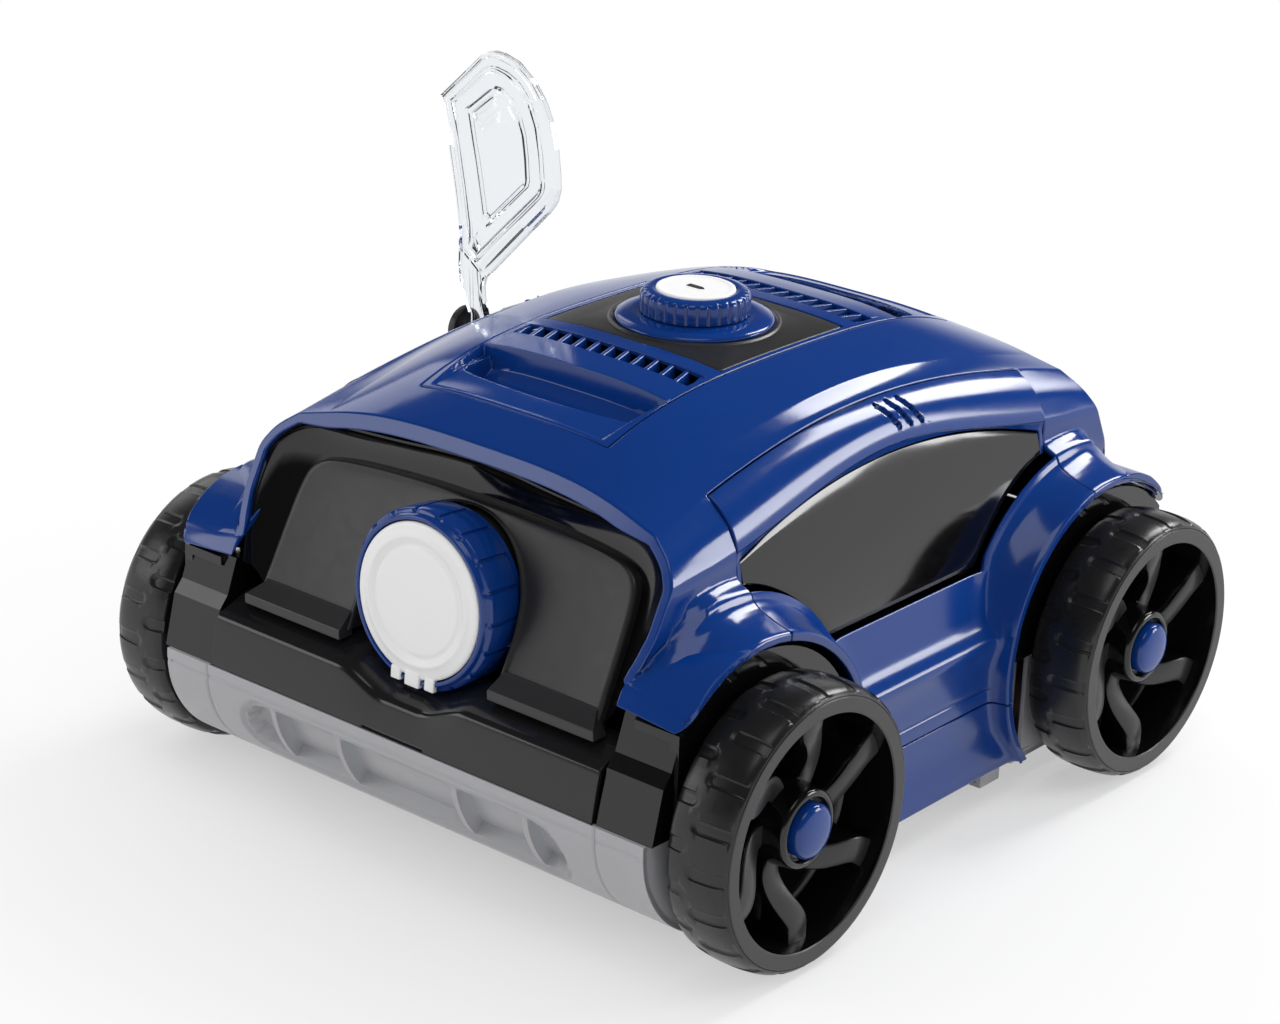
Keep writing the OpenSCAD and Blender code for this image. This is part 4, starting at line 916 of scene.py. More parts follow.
def build_bumpers(sizes):
    """Both bumpers, which dip below the nozzle in the middle."""
    outer = np.array([
        (-176.0, 102.2), (-180, 101.2), (-186, 99.0), (-192, 96.7), (-195.5, 95.4), (-197.0, 94.7),
        (-198.0, 93.9), (-198.7, 92.8), (-199.2, 91.2), (-199.9, 88), (-200.9, 83), (-201.8, 78),
        (-202.5, 74), (-202.9, 71.2), (-202.9, 70.5), (-202.5, 70.2), (-199.5, 70.2),
    ]) + [0.45, 0]
    inner = outer + np.array(
        [(0.4, -2.4)] * 5 + [(1.6, -2.2), (2.2, -1.6), (2.6, -1.0), (2.8, -0.6)] + [(2.9, -0.2)] * 6
        + [(2.4, 1.8), (0, 1.8)]
    )
    share = np.interp(outer[:, 1], [70, 78, 91], [0, 0.35, 1])
    xs = np.concatenate([np.linspace(-117.6, -44, 16), np.linspace(-41, 41, 55), np.linspace(44, 117.6, 16)])
    dips = 8.6 * (1 - smoothstep(10, 39, np.abs(xs)))

    def swept(profile):
        """The profile at every x, lower by that place's dip."""
        low = [profile - np.outer(dip * share, [0, 1]) for dip in dips]
        return np.array([[(x, y, z) for y, z in line] for x, line in zip(xs, low)])

    part = thick_sheet(swept(outer), swept(inner))
    for end, sy in (("front", 1), ("rear", -1)):
        make_piece(f"Bumper {end}", mirrored(part, 1, sy), "bumper", f"bumper_{end}", soft=0.5, angle=45)


# ---------------------------------------------------------------- filter tray

TRAY = [
    (-202.9, 70.0), (-203.0, 67), (-203.0, 64.4), (-202.6, 60), (-201.2, 53), (-198.4, 45.5), (-193.6, 37),
    (-187.4, 29.4), (-180, 23), (-172, 17.9), (-164, 14.3), (-156, 12.4), (-148, 12),
]


def tray_relief(x, s):
    """How far the tray's front sinks at x and s along its section: a recess, deep pockets, fine grooves."""
    low, high, half = 8.6, 46.0, 101.0
    radius = (high - low) / 2
    outside = math.hypot(max(abs(x) - (half - radius), 0), s - (low + high) / 2) - radius
    recess = 1.7 * float(smoothstep(0.3, -0.7, outside))
    from_rib = min(abs(x - rib) for rib in TRAY_RIBS)
    pocket = 6.5 * float(smoothstep(-3.2, -4.6, outside)) * float(smoothstep(1.6, 2.2, from_rib))
    groove = 0.9 * float(smoothstep(0.8, 0.2, abs(abs(x) - 119.6)))
    band = 0.7 * float(smoothstep(0.5, 0.1, abs(s - 6.2)))
    return recess + pocket + groove + band


def build_tray(sizes):
    """The filter tray: its ribbed shell, open at the suction mouths and the latches, and the walls inside."""
    front = resampled(catmull_rom(TRAY, 10), 74)
    run = np.concatenate([[0], np.cumsum(np.linalg.norm(np.diff(front, axis=0), axis=1))])
    floor_y = [-130, -100, -76.0, -72, -71.6, -60, -48.4, -48, -30, -10]
    halves = [
        146.9, 144, 138, 130, 122, 120.4, 119.6, 118.8, 118, 114, 110, 107, 105, 103.5, 102.5, 101.5, 100.5,
        99.5, 98.5, 97, 95, 92.5, 90, 87, 84.5, 72, 66, 60, 55.6, 55, 48, 43, 30, 22, 14, 7, 0.0,
    ]
    at_ribs = {rib + v for rib in TRAY_RIBS for v in (-4.2, -2.8, -2.1, -1.6, 0, 1.6, 2.1, 2.8, 4.2)}
    xs = np.array(sorted(at_ribs | {sx * v for sx in (-1, 1) for v in halves}))
    tangent = np.gradient(front, axis=0)
    tangent /= np.linalg.norm(tangent, axis=1, keepdims=True)
    normal = np.stack([tangent[:, 1], -tangent[:, 0]], axis=1)
    normal *= -np.sign(normal[0, 0])

    def shell(depth):
        """The front half that lies depth inside the tray's face, mirrored to the rear."""
        lines = []
        for (y, z), (ny, nz), s in zip(front, normal, run):
            sunk = [tray_relief(x, s) + depth for x in xs]
            lines.append([(x, y - ny * d, z - nz * d) for x, d in zip(xs, sunk)])
        lines += [[(x, y, TRAY_FLOOR + depth) for x in xs] for y in floor_y]
        half = np.array(lines)
        return np.concatenate([half, (half * [1, -1, 1])[::-1]])

    outer = shell(0.0)

    def dropped(i, j):
        y, x = abs(outer[i, 0, 1] + outer[i + 1, 0, 1]) / 2, abs(xs[j] + xs[j + 1]) / 2
        mouth = abs(outer[i, 0, 2] - TRAY_FLOOR) < 0.01 and 48 < y < 72 and x < 55.6
        return mouth or (x > 138 and y < 78)

    keep = kept_cells(len(outer), len(xs), dropped)
    make_piece("Filter tray", thick_sheet(outer, shell(2.6), keep), "tray", "filter_tray", angle=50)

    cheek = [*front[::3], (-84, TRAY_FLOOR), (-84, 70)]
    walls = []
    for sx in (-1, 1):
        walls += [solid([[(sx * x, -sy * y, z) for y, z in cheek] for x in (146.9, 144.4)]) for sy in (-1, 1)]
        walls.append(slab((sx * 138.2, sx * 140.8), (-84, 84), (TRAY_FLOOR, 70)))
        walls += [slab((sx * 129.5, sx * 135), (y, y + 2.2), (6.4, 13)) for y in (49.6, 69.2)]
    for sy in (-1, 1):
        walls += [slab((-58, 58), (sy * y0, sy * y1), (12.2, 34)) for y0, y1 in ((45.6, 48), (72, 74.4))]
        walls += [slab((x, x + 2.4), (sy * 48, sy * 72), (12.2, 34)) for x in (-58, 55.6)]
    make_piece("Filter tray walls", joined(*walls), "tray", "filter_tray", soft=0.4)


# ---------------------------------------------------------------- top deck, switch and knob


def deck_top(x, y):
    """Height of the crown at a place on the deck."""
    z = 215.0
    for _ in range(12):
        s = min(abs(y) / opening(z), 1.0)
        z = top_point(min(abs(x) / RIDGE_X, 1), s)[1]
    return z


def bowl_depth(x, y, well_mm):
    """How far the finger well sinks below the deck: a sloping ramp, then a crescent step into the well."""
    a, b = abs(x), abs(y)
    side = 55.4 - (b - 86) * 0.1
    within = float(smoothstep(125.6, 124.4, b)) * float(smoothstep(side + 0.2, side - 1.4, a))
    ramp = (0.7 + 0.13 * (125.5 - b)) * within * float(smoothstep(86.0, 87.2, b))
    deep = well_mm > DEEP_WELL
    reach = (108.0 if deep else 103.5) + 8.5 * math.sqrt(max(1 - (a / 51.0) ** 2, 0.0))
    inside = float(smoothstep(50.6, 49.0, a)) * float(smoothstep(86.2, 87.4, b))
    step = 2.6 * float(smoothstep(reach + 0.3, reach - 1.1, b)) * inside
    across = min(max((reach - 1.0 - b) / (reach - 88.0), 0.0), 1.0)
    form = 1.0 if deep else math.sin(math.pi * (0.08 + 0.84 * across)) ** 0.7
    well = well_mm * form * inside * float(smoothstep(reach - 0.9, reach - (2.4 if deep else 3.4), b))
    return max(ramp, 0.0) + step + well


def louvre(x, near, far):
    """One upright slanted rib of the vents, from the near edge to the far one."""
    section = ((-1.25, -8), (-1.25, -0.4), (-0.9, 0), (0.9, 0), (1.25, -0.4), (1.25, -8))
    rings = []
    for t in np.linspace(0, 1, 8):
        y = mix(near - 0.3, far + 0.3, t)
        middle = min(max(x + mix(-1.8, 1.8, t), -53.2), 53.2)
        rings.append([(middle + dx, y, deck_top(x, y) - 0.7 + dz) for dx, dz in section])
    return solid(rings)


def in_shaded_well(at, normal):
    """Whether a face of the deck lies inside the rear finger well, which is painted black as painted shade.
    """
    return 87.0 < at.y < 117.5 and abs(at.x) < 50.8 and at.z < deck_top(at.x, at.y) - 5.4


def build_deck(sizes):
    """The deck at both ends with its finger wells and vents, and the rails beside the top panel."""
    half = DECK_X - 0.6
    near, far, vent_half = 56.4, 69.4, 52.8
    halves = [
        0, 5, 10, 15, 20, 25, 30, 34, 37, 40, 42.5, 44.5, 46, 47.2, 48.2, 48.9, 49.5, 50.1, 50.7, 51.4, 52.2,
        vent_half, 53.4, 53.9, 54.4, 54.9, 55.4, half,
    ]
    xs = sorted({s * v for s in (-1, 1) for v in halves})
    ys = [46.4, 50, near - 0.5, near, far, far + 0.5, 76, 80, 84, 85.4, 86.0, 86.5, 87.0, 87.5, 88.4, 90, 92]
    ys += [94, 96, 98, *np.arange(99.5, 117.4, 0.6), 118.4, 120, 122, 123.2, 124.2, 124.8, 125.4, 126, 127]
    crown = np.array([[(x, y, deck_top(x, y)) for x in xs] for y in ys])

    def dropped(i, j):
        return near < (ys[i] + ys[i + 1]) / 2 < far and abs(xs[j] + xs[j + 1]) / 2 < vent_half

    keep = kept_cells(len(ys), len(xs), dropped)
    pitch = 2 * vent_half / sizes.vents
    louvres = joined(*(louvre(pitch * k - vent_half, near, far) for k in range(sizes.vents + 1)))
    for end, sy, well_mm in (("front", -1, 6.5), ("rear", 1, 17.0)):
        depth = np.array([[bowl_depth(x, y, well_mm) for x in xs] for y in ys])
        outer = crown - depth[:, :, None] * np.array([0, 0, 1])
        sheet = mirrored(thick_sheet(outer, outer - [0, 0, DECK_WALL], keep), 1, sy)
        deck = make_piece(f"Deck {end}", sheet, "body", "top_deck", soft=0.5, angle=40)
        if well_mm > DEEP_WELL:
            # painted shade: the deep rear well's inside is finished gloss black to stand for the shade in it
            face_finish(deck, "gloss", in_shaded_well)
        make_piece(f"Vent louvres {end}", mirrored(louvres, 1, sy), "body", "top_deck", angle=60)
    rails = []
    for sx in (-1, 1):
        rail_x = [sx * v for v in (53.4, 54.4, 55.2, half)]
        grid = np.array([[(x, y, deck_top(x, y)) for x in rail_x] for y in np.linspace(-46.6, 46.6, 24)])
        rails.append(thick_sheet(grid, grid - [0, 0, DECK_WALL]))
    make_piece("Deck rails", joined(*rails), "body", "top_deck", soft=0.5, angle=40)
    pans = [slab((-53.0, 53.0), (sy * (near - 0.4), sy * (far + 0.4)), (205.0, 207.0)) for sy in (-1, 1)]
    make_piece("Vent pans", joined(*pans), "gloss", "top_deck", soft=0.3)


def rounded_box(half_x, half_y, radius, count):
    """A closed outline of a box with round corners."""
    out = []
    for k, (sx, sy) in enumerate(((1, 1), (-1, 1), (-1, -1), (1, -1))):
        for a in np.linspace(0, math.pi / 2, count) + k * math.pi / 2:
            x, y = sx * (half_x - radius), sy * (half_y - radius)
            out.append((x + radius * math.cos(a), y + radius * math.sin(a)))
    return np.array(out)


def build_top_panel(sizes):
    """The black panel between the vents, with a raised ring round the knob's flange."""
    outline = rounded_box(52.9, 46.0, 2.0, 12)
    outline = resampled(np.concatenate([outline, outline[:1]]), 337)[:-1]
    turns = np.arctan2(outline[:, 1], outline[:, 0])
    steps = [(1.0, -1.6), (1.0, -0.5), (0.997, -0.2), (0.99, 0.0), (0.96, 0.05), (0.9, 0.1), (0.82, 0.15)]
    lines = [(outline * scale, lift) for scale, lift in steps]
    for r, lift in (
        (41.5, 0.15), (41.0, 0.3), (40.5, 0.9), (39.9, 1.15), (39.3, 0.9), (38.9, 0.2), (37, 0.15),
        (16.5, 0.15), (16.5, -2.0),
    ):
        lines.append(([(r * math.cos(a), r * math.sin(a)) for a in turns], lift))
    grid = np.array([[(x, y, deck_top(x, y) - 0.35 + lift) for x, y in line] for line, lift in lines])
    low = grid.copy()
    low[:, :, 2] = np.minimum(low[:, :, 2] - 1.8, 219.0)
    make_piece("Top panel", thick_sheet(grid, low, wrap_cols=True), "satin", "top_panel", angle=50)


def build_knob(sizes):
    """The switch knob: a fixed flange, the ribbed knob and its dial with a pointer."""
    flange = lathe([
        (12.2, 221.0), (36.5, 221.0), (37.6, 221.4), (38, 222.2), (37.8, 223.1), (36.8, 223.9), (33.5, 224.9),
        (29.8, 225.4), (28.4, 225.3), (12.2, 225.3),
    ], 128)
    make_piece("Knob flange", flange, "body", "knob_flange", angle=50)
    rib = [0.0, 0.55, 0.92, 1, 1, 1, 1, 1, 1, 0.92, 0.55, 0.0]
    count = sizes.ribs * len(rib)
    angles = np.linspace(0, 2 * math.pi, count, endpoint=False)
    knob = turned([
        (12.5, 225.6, 0), (25.2, 225.6, 0), (26.2, 225.9, 0.6), (26.3, 226.6, 1), (26.3, 233.2, 1),
        (26.0, 234.6, 1), (25.3, 235.6, 0.7), (24.3, 236.2, 0.25), (22.6, 236.7, 0), (20.3, 236.9, 0),
        (19.5, 236.6, 0), (19.3, 235.6, 0), (12.5, 235.2, 0),
    ], angles, lambda row, a: 0.9 * row[2] * (1 - rib[round(a / angles[1]) % len(rib)]))
    make_piece("Knob", knob, "body", "knob", "power_knob", angle=45)
    dial = lathe([
        (0, 235.4), (18.9, 235.4), (19.1, 236.2), (18.8, 237.0), (18.0, 237.4), (16.8, 237.3), (16.2, 236.95),
        (14.8, 236.9), (0, 237.1),
    ], 96)
    make_piece("Knob dial", dial, "white", "knob_disc", "power_knob", angle=40)
    arrow = [(-4.6, 1.5), (-4.6, -1.5), (3.0, -1.5), (5.2, 0), (3.0, 1.5)]
    pointer = solid([[(x, y, z) for x, y in arrow] for z in (236.85, 237.45)])
    make_piece("Dial pointer", pointer, "satin", "knob_disc", "power_knob", soft=0.15)


# ---------------------------------------------------------------- paddle

PADDLE_EDGE = [
    [(-165.8, 297.9), (-138.7, 323.2)],
    [
        (-138.7, 323.2), (-135, 325.4), (-130.5, 326.4), (-124.2, 326.1), (-115.6, 323.9), (-104.4, 316.4),
        (-96.5, 306.4), (-91.8, 296.4), (-88.6, 284), (-87.0, 273), (-86.6, 265.9),
    ],
    [(-86.6, 265.9), (-88.0, 260), (-90.8, 255.3), (-128.3, 216.3), (-134.0, 210.6)],
    [(-151.2, 222.0), (-151.3, 234.4), (-154.1, 250.8), (-159.3, 275.3), (-165.8, 297.9)],
]
PADDLE_STEP = [
    [(-158.3, 296.4), (-137.0, 315.6)],
    [
        (-137.0, 315.6), (-133.6, 317.2), (-129, 317.6), (-122, 316.2), (-114, 312.2), (-107.4, 304.6),
        (-102.6, 294.4), (-99.6, 280.2), (-97.8, 265.2),
    ],
    [(-97.8, 265.2), (-98.6, 261.4), (-141.2, 219.0)],
    [(-144.6, 223.4), (-145.6, 236), (-149.6, 257), (-154.4, 279), (-158.3, 296.4)],
]
PADDLE_PANE = [
    [(-146.4, 294.6), (-130.8, 307.0)],
    [
        (-130.8, 307.0), (-128.6, 307.9), (-125, 307.4), (-119.7, 304.4), (-114.3, 297.8), (-110.6, 288.7),
        (-108.7, 277.4), (-107.7, 266.4),
    ],
    [(-107.7, 266.4), (-108.4, 263.4), (-131.6, 240.6)],
    [(-134.8, 242.4), (-136.6, 252), (-140.4, 269.8), (-143.8, 283), (-146.4, 294.6)],
]


def paddle_loop(sides, foot=None):
    """One closed line round the paddle, with as many points along each side whatever its form."""
    lines = [resampled(side, count)[:-1] for side, count in zip(sides, (14, 56, 24, 30))]
    lines.insert(3, resampled(foot or [sides[2][-1], sides[3][0]], 45)[:-1])
    return np.concatenate(lines)


def build_paddle(sizes):
    """The clear paddle: a thin blade with a raised rim, a raised step inside it and a raised pane's edge."""
    stem = [
        (-134.0, 210.6), (-135.4, 206.4), (-135.0, 200), (-131.8, 190), (-131.8, 182), (-143.2, 182),
        (-143.2, 190), (-149.6, 204), (-151.2, 213), (-151.2, 222.0),
    ]
    outline = paddle_loop(PADDLE_EDGE, stem)
    edge, step, pane = (paddle_loop(sides) for sides in (PADDLE_EDGE, PADDLE_STEP, PADDLE_PANE))
    centre = pane.mean(axis=0)
    run = np.roll(outline, -1, axis=0) - np.roll(outline, 1, axis=0)
    run /= np.linalg.norm(run, axis=1, keepdims=True)
    inward = np.stack([run[:, 1], -run[:, 0]], axis=1)
    inward *= np.sign(np.sum((centre - outline) * inward))
    thin, rim, raised = 1.4, 2.1, 2.4
    levels = [(outline, 1.5), (outline + inward * 0.6, rim), (outline + inward * 1.5, rim)]
    for line, goal, steps in (
        (edge, step, ((0.26, rim), (0.36, thin), (0.84, thin), (0.92, raised))),
        (step, pane, ((0.1, raised), (0.18, thin), (0.84, thin), (0.92, raised))),
        (pane, centre, ((0.05, raised), (0.1, thin), (0.6, thin))),
    ):
        levels += [(mix(line, goal, share), half) for share, half in steps]
    both = [(ring, -half) for ring, half in reversed(levels)] + levels
    blade = solid([[(x, y, z) for x, z in ring] for ring, y in both])
    make_piece("Paddle", blade, "clear", "fin_paddle", "paddle", angle=24)


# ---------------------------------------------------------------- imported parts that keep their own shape

FITTINGS = {
    "satin": ["fin_bracket", "pump_duct", "switch_body", "filter_frame"],
    "gloss": ["lower_hull", "propeller_front", "propeller_rear"],
    "tray": ["latch_left", "latch_right"],
    "rubber": ["charging_socket", "filter_seal", "shaft_seals", "suction_flap_front", "suction_flap_rear"],
    "steel": [
        "switch_shaft", "fin_shaft", "flap_pin_front", "flap_pin_rear", "motor_can", "drive_shaft", "axles",
        "case_screws",
    ],
    "wrap": ["battery_pack"],
    "board": ["circuit_board"],
    "mesh": ["filter_mesh"],
}
SOFTENED = {
    "lower_hull": 1.2, "latch_left": 0.5, "latch_right": 0.5, "fin_bracket": 0.5, "battery_pack": 0.5,
    "charging_socket": 0.5,
}


def build_fittings(sizes):
    """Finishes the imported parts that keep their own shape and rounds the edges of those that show."""
    for finish, names in FITTINGS.items():
        for name in names:
            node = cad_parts[name]
            node.data.materials.clear()
            node.data.materials.append(MATERIALS[finish])
            if name in SOFTENED:
                soften_node(node, SOFTENED[name])


# ---------------------------------------------------------------- stage

LAMPS = [
    ("Overhead softbox", 7, (1.2, 1.2), (0.5, -0.7, 2.3), (0, 0, 0)),
    ("Front left softbox", 7.5, (1.1, 0.9), (-1.75, -1.55, 1.05), (0, 0, 0.1)),
    ("Rear softbox", 24, (0.62, 0.95), (0.3, 1.55, 1.35), (0, 0, 0.15)),
    ("Right rear softbox", 10, (0.62, 0.55), (1.38, 1.38, 0.68), (0, 0, 0.12)),
    ("Left rear softbox", 5, (1.2, 0.8), (-1.9, 0.5, 1.2), (0, 0, 0.12)),
]
VIEW_ANGLES = (39.559, 21.475, 2.082)  # turn, rise and roll in degrees
VIEW_AIM = (-0.0865, 0.0695, 0.0796)
VIEW_DISTANCE, VIEW_LENS = 1.698, 92.1


def any_ray(tree, path, *kinds):
    """1 for rays of any of these kinds."""
    found = path.outputs[kinds[0]]
    for kind in kinds[1:]:
        found = add(tree, "ShaderNodeMath", {0: found, 1: path.outputs[kind]}, operation="MAXIMUM").outputs[0]
    return found


def white_floor(scene):
    """A matt floor that fades, where seen or mirrored, from its lit paint to plain white further out."""
    mesh = bpy.data.meshes.new("Studio floor")
    mesh.from_pydata([(-9, -9, 0), (9, -9, 0), (9, 9, 0), (-9, 9, 0)], [], [(0, 1, 2, 3)])
    floor = bpy.data.objects.new("Studio floor", mesh)
    scene.collection.objects.link(floor)
    matte = bpy.data.materials.new("Matt white floor")
    matte.use_nodes = True
    tree = matte.node_tree
    shader = tree.nodes["Principled BSDF"]
    shader.inputs["Base Color"].default_value = (0.9, 0.9, 0.9, 1)
    shader.inputs["Roughness"].default_value = 0.9
    shader.inputs["Specular IOR Level"].default_value = 0.0
    path = add(tree, "ShaderNodeLightPath")
    shown = any_ray(tree, path, "Is Camera Ray", "Is Glossy Ray", "Is Transmission Ray")
    place = add(tree, "ShaderNodeTexCoord").outputs["Object"]
    reach = add(tree, "ShaderNodeVectorMath", {0: place}, operation="LENGTH").outputs["Value"]
    fade = add(tree, "ShaderNodeMapRange", {
        "Value": reach, "From Min": 0.19, "From Max": 0.5, "To Min": 0.46, "To Max": 1.0,
    })
    share = add(tree, "ShaderNodeMath", {0: shown, 1: fade.outputs["Result"]}, operation="MULTIPLY")
    glow = add(tree, "ShaderNodeEmission", {"Color": WHITE, "Strength": 1.0})
    paint = add(tree, "ShaderNodeMixShader", {0: share.outputs[0], 1: shader.outputs[0], 2: glow.outputs[0]})
    tree.links.new(paint.outputs[0], tree.nodes["Material Output"].inputs["Surface"])
    mesh.materials.append(matte)


def studio_world(scene, sizes):
    """Plain white where it is seen, an even fill for the light and, in reflections, a low white sweep."""
    world = bpy.data.worlds.new("Studio")
    scene.world = world
    world.use_nodes = True
    tree = world.node_tree
    tree.nodes.clear()
    path = add(tree, "ShaderNodeLightPath")
    seen = any_ray(tree, path, "Is Camera Ray", "Is Transmission Ray")
    # a white sweep stands all round up to a low height; above it the studio is dark but for its lamps
    direction = add(tree, "ShaderNodeTexCoord").outputs["Generated"]
    height = add(tree, "ShaderNodeSeparateXYZ", {0: direction}).outputs["Z"]
    sweep = add(tree, "ShaderNodeMapRange", {
        "Value": height, "From Min": 0.1, "From Max": 0.3, "To Min": 1.0, "To Max": sizes.ceiling,
    })
    lights = [
        add(tree, "ShaderNodeBackground", {"Color": WHITE, "Strength": strength})
        for strength in (sweep.outputs["Result"], sizes.fill, 1.0)
    ]
    reflected, plain, white = (light.outputs[0] for light in lights)
    unseen = add(tree, "ShaderNodeMixShader", {0: path.outputs["Is Glossy Ray"], 1: plain, 2: reflected})
    both = add(tree, "ShaderNodeMixShader", {0: seen, 1: unseen.outputs[0], 2: white})
    add(tree, "ShaderNodeOutputWorld", {"Surface": both.outputs[0]})


def hang_lamps(scene, sizes):
    """The softboxes, each turned to what it lights."""
    for name, energy, size, at, aim in LAMPS:
        data = bpy.data.lights.new(name, "AREA")
        data.shape = "RECTANGLE"
        data.energy = energy * sizes.key
        data.size, data.size_y = size
        lamp = bpy.data.objects.new(name, data)
        lamp.location = at
        lamp.rotation_euler = (Vector(aim) - Vector(at)).to_track_quat("-Z", "Y").to_euler()
        scene.collection.objects.link(lamp)


def place_camera(scene):
    """The camera, turned round, raised above and rolled about the point that it looks at."""
    turn, rise, roll = (math.radians(angle) for angle in VIEW_ANGLES)
    back = Vector((math.sin(turn) * math.cos(rise), -math.cos(turn) * math.cos(rise), math.sin(rise)))
    right = (-back).cross(Vector((0, 0, 1))).normalized()
    up = right.cross(-back)
    right, up = right * math.cos(roll) + up * math.sin(roll), up * math.cos(roll) - right * math.sin(roll)
    data = bpy.data.cameras.new("Camera")
    data.sensor_width = 36
    data.lens = VIEW_LENS
    data.clip_start = 0.05
    camera = bpy.data.objects.new("Camera", data)
    place = Matrix((right, up, back)).transposed().to_4x4()
    place.translation = Vector(VIEW_AIM) + back * VIEW_DISTANCE
    camera.matrix_world = place
    scene.collection.objects.link(camera)
    scene.camera = camera


def build_stage(sizes):
    """The floor, the world, the lamps and the camera."""
    scene = bpy.context.scene
    scene.view_settings.view_transform = "Standard"
    white_floor(scene)
    studio_world(scene, sizes)
    hang_lamps(scene, sizes)
    place_camera(scene)


# ---------------------------------------------------------------- add-on


class CleanerColours(bpy.types.PropertyGroup):
    """Colours of the cleaner's finishes, as sRGB hex."""

    body: bpy.props.StringProperty(name="Body", description="Blue of the shell", default="#0A3782")
    trim: bpy.props.StringProperty(name="Trim", description="Satin black of the panels", default="#232325")
    gloss: bpy.props.StringProperty(
        name="Gloss", description="Gloss black of rims and strips", default="#0C0C0D"
    )
    bumper: bpy.props.StringProperty(name="Bumper", description="Black of the bumpers", default="#19191B")
    window: bpy.props.StringProperty(
        name="Window", description="Smoked tone of the side windows", default="#0C0C0E"
    )
    tray: bpy.props.StringProperty(name="Tray", description="Grey of the filter tray", default="#B2B2B6")
    tyre: bpy.props.StringProperty(name="Tyre", description="Black of the tyres", default="#18181A")
    flap: bpy.props.StringProperty(
        name="Flap", description="White of the nozzle flaps and the dial", default="#FAFAFA"
    )
    clear: bpy.props.StringProperty(name="Paddle", description="Tint of the clear paddle", default="#ECEFF2")


class CleanerSizes(bpy.types.PropertyGroup):
    """Sizes of the cleaner's details, in millimetres, and the strength of its light."""

    edge: bpy.props.FloatProperty(
        name="Edge rounding", description="Radius of the shell's rounded edges in millimetres", default=1.0,
        min=0.2, max=1.5,
    )
    spokes: bpy.props.IntProperty(
        name="Spokes", description="Number of spokes in a wheel", default=6, min=3, max=9
    )
    ribs: bpy.props.IntProperty(
        name="Knob ribs", description="Number of ribs round the knob", default=30, min=12, max=48
    )
    vents: bpy.props.IntProperty(
        name="Vent cells", description="Number of cells in a row of vents", default=12, min=4, max=14
    )
    key: bpy.props.FloatProperty(
        name="Lamps", description="Strength of all lamps", default=1.0, min=0.1, max=4.0
    )
    ceiling: bpy.props.FloatProperty(
        name="Ceiling", description="How bright the studio above the white sweep is in reflections",
        default=0.06, min=0.0, max=1.0,
    )
    fill: bpy.props.FloatProperty(
        name="Fill", description="Strength of the light from all round", default=0.55, min=0.0, max=1.5
    )


class BuildStep:
    """Runs one build function with the scene's sizes."""

    def execute(self, context):
        self.build(context.scene.cleaner_sizes)
        return {"FINISHED"}


class CLEANER_OT_finishes(bpy.types.Operator):
    """Makes every material of the cleaner"""

    bl_idname = "cleaner.finishes"
    bl_label = "Make finishes"

    def execute(self, context):
        make_materials(context.scene.cleaner_colours)
        return {"FINISHED"}


class CLEANER_OT_hood(BuildStep, bpy.types.Operator):
    """Builds the domed hood with its front and rear fenders"""

    bl_idname = "cleaner.hood"
    bl_label = "Build hood"
    build = staticmethod(build_hood)


class CLEANER_OT_sides(BuildStep, bpy.types.Operator):
    """Builds the side panels, windows and sills"""

    bl_idname = "cleaner.sides"
    bl_label = "Build sides"
    build = staticmethod(build_sides)


class CLEANER_OT_wheels(BuildStep, bpy.types.Operator):
    """Builds the four wheels with their treads, rims, spokes and caps"""

    bl_idname = "cleaner.wheels"
    bl_label = "Build wheels"
    build = staticmethod(build_wheels)


class CLEANER_OT_nozzles(BuildStep, bpy.types.Operator):
    """Builds both nozzles with their notched rings and hinged flaps"""

    bl_idname = "cleaner.nozzles"
    bl_label = "Build nozzles"
    build = staticmethod(build_nozzles)


class CLEANER_OT_end_panels(BuildStep, bpy.types.Operator):
    """Builds the panels inside the front and rear openings"""

    bl_idname = "cleaner.end_panels"
    bl_label = "Build end panels"
    build = staticmethod(build_end_panels)


class CLEANER_OT_bumpers(BuildStep, bpy.types.Operator):
    """Builds the bumpers below the openings"""

    bl_idname = "cleaner.bumpers"
    bl_label = "Build bumpers"
    build = staticmethod(build_bumpers)


class CLEANER_OT_tray(BuildStep, bpy.types.Operator):
    """Builds the filter tray with its ribbed pockets"""

    bl_idname = "cleaner.tray"
    bl_label = "Build filter tray"
    build = staticmethod(build_tray)


class CLEANER_OT_deck(BuildStep, bpy.types.Operator):
    """Builds the top deck with its grips and vents"""

    bl_idname = "cleaner.deck"
    bl_label = "Build top deck"
    build = staticmethod(build_deck)


class CLEANER_OT_top_panel(BuildStep, bpy.types.Operator):
    """Builds the black panel under the knob"""

    bl_idname = "cleaner.top_panel"
    bl_label = "Build top panel"
    build = staticmethod(build_top_panel)


class CLEANER_OT_knob(BuildStep, bpy.types.Operator):
    """Builds the ribbed knob, its flange and its dial"""

    bl_idname = "cleaner.knob"
    bl_label = "Build knob"
    build = staticmethod(build_knob)


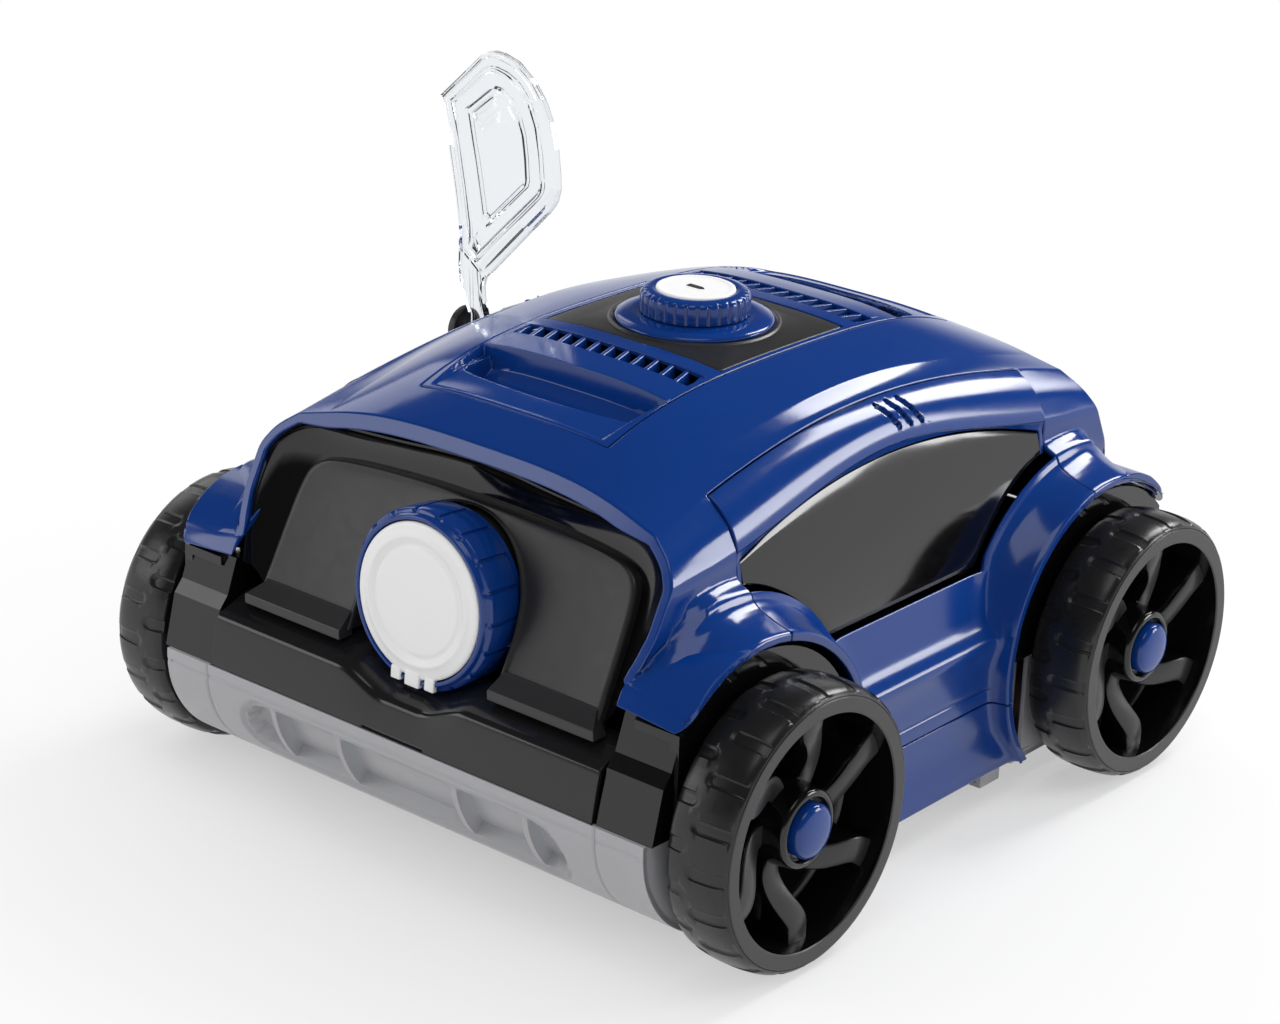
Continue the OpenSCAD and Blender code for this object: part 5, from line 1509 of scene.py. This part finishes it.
class CLEANER_OT_paddle(BuildStep, bpy.types.Operator):
    """Builds the clear swinging paddle"""

    bl_idname = "cleaner.paddle"
    bl_label = "Build paddle"
    build = staticmethod(build_paddle)


class CLEANER_OT_fittings(BuildStep, bpy.types.Operator):
    """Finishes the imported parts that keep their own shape"""

    bl_idname = "cleaner.fittings"
    bl_label = "Finish fittings"
    build = staticmethod(build_fittings)


class CLEANER_OT_stage(BuildStep, bpy.types.Operator):
    """Sets the floor, the light and the camera"""

    bl_idname = "cleaner.stage"
    bl_label = "Set the stage"
    build = staticmethod(build_stage)


OPERATORS = [
    CLEANER_OT_finishes, CLEANER_OT_hood, CLEANER_OT_sides, CLEANER_OT_wheels, CLEANER_OT_nozzles,
    CLEANER_OT_end_panels, CLEANER_OT_bumpers, CLEANER_OT_tray, CLEANER_OT_deck, CLEANER_OT_top_panel,
    CLEANER_OT_knob, CLEANER_OT_paddle, CLEANER_OT_fittings, CLEANER_OT_stage,
]


class CLEANER_PT_panel(bpy.types.Panel):
    """Lists the build steps and the sizes."""

    bl_label = "Pool cleaner"
    bl_idname = "CLEANER_PT_panel"
    bl_space_type = "VIEW_3D"
    bl_region_type = "UI"
    bl_category = "Pool cleaner"

    def draw(self, context):
        for group in (context.scene.cleaner_colours, context.scene.cleaner_sizes):
            for key in group.__annotations__:
                self.layout.prop(group, key)
        for kind in OPERATORS:
            self.layout.operator(kind.bl_idname)


CLASSES = [CleanerColours, CleanerSizes] + OPERATORS + [CLEANER_PT_panel]


def register():
    for kind in CLASSES:
        bpy.utils.register_class(kind)
    bpy.types.Scene.cleaner_colours = bpy.props.PointerProperty(type=CleanerColours)
    bpy.types.Scene.cleaner_sizes = bpy.props.PointerProperty(type=CleanerSizes)


def unregister():
    del bpy.types.Scene.cleaner_sizes
    del bpy.types.Scene.cleaner_colours
    for kind in reversed(CLASSES):
        bpy.utils.unregister_class(kind)


def main():
    register()
    for kind in OPERATORS:
        group, step = kind.bl_idname.split(".")
        getattr(getattr(bpy.ops, group), step)()


if __name__ == "__main__":
    main()
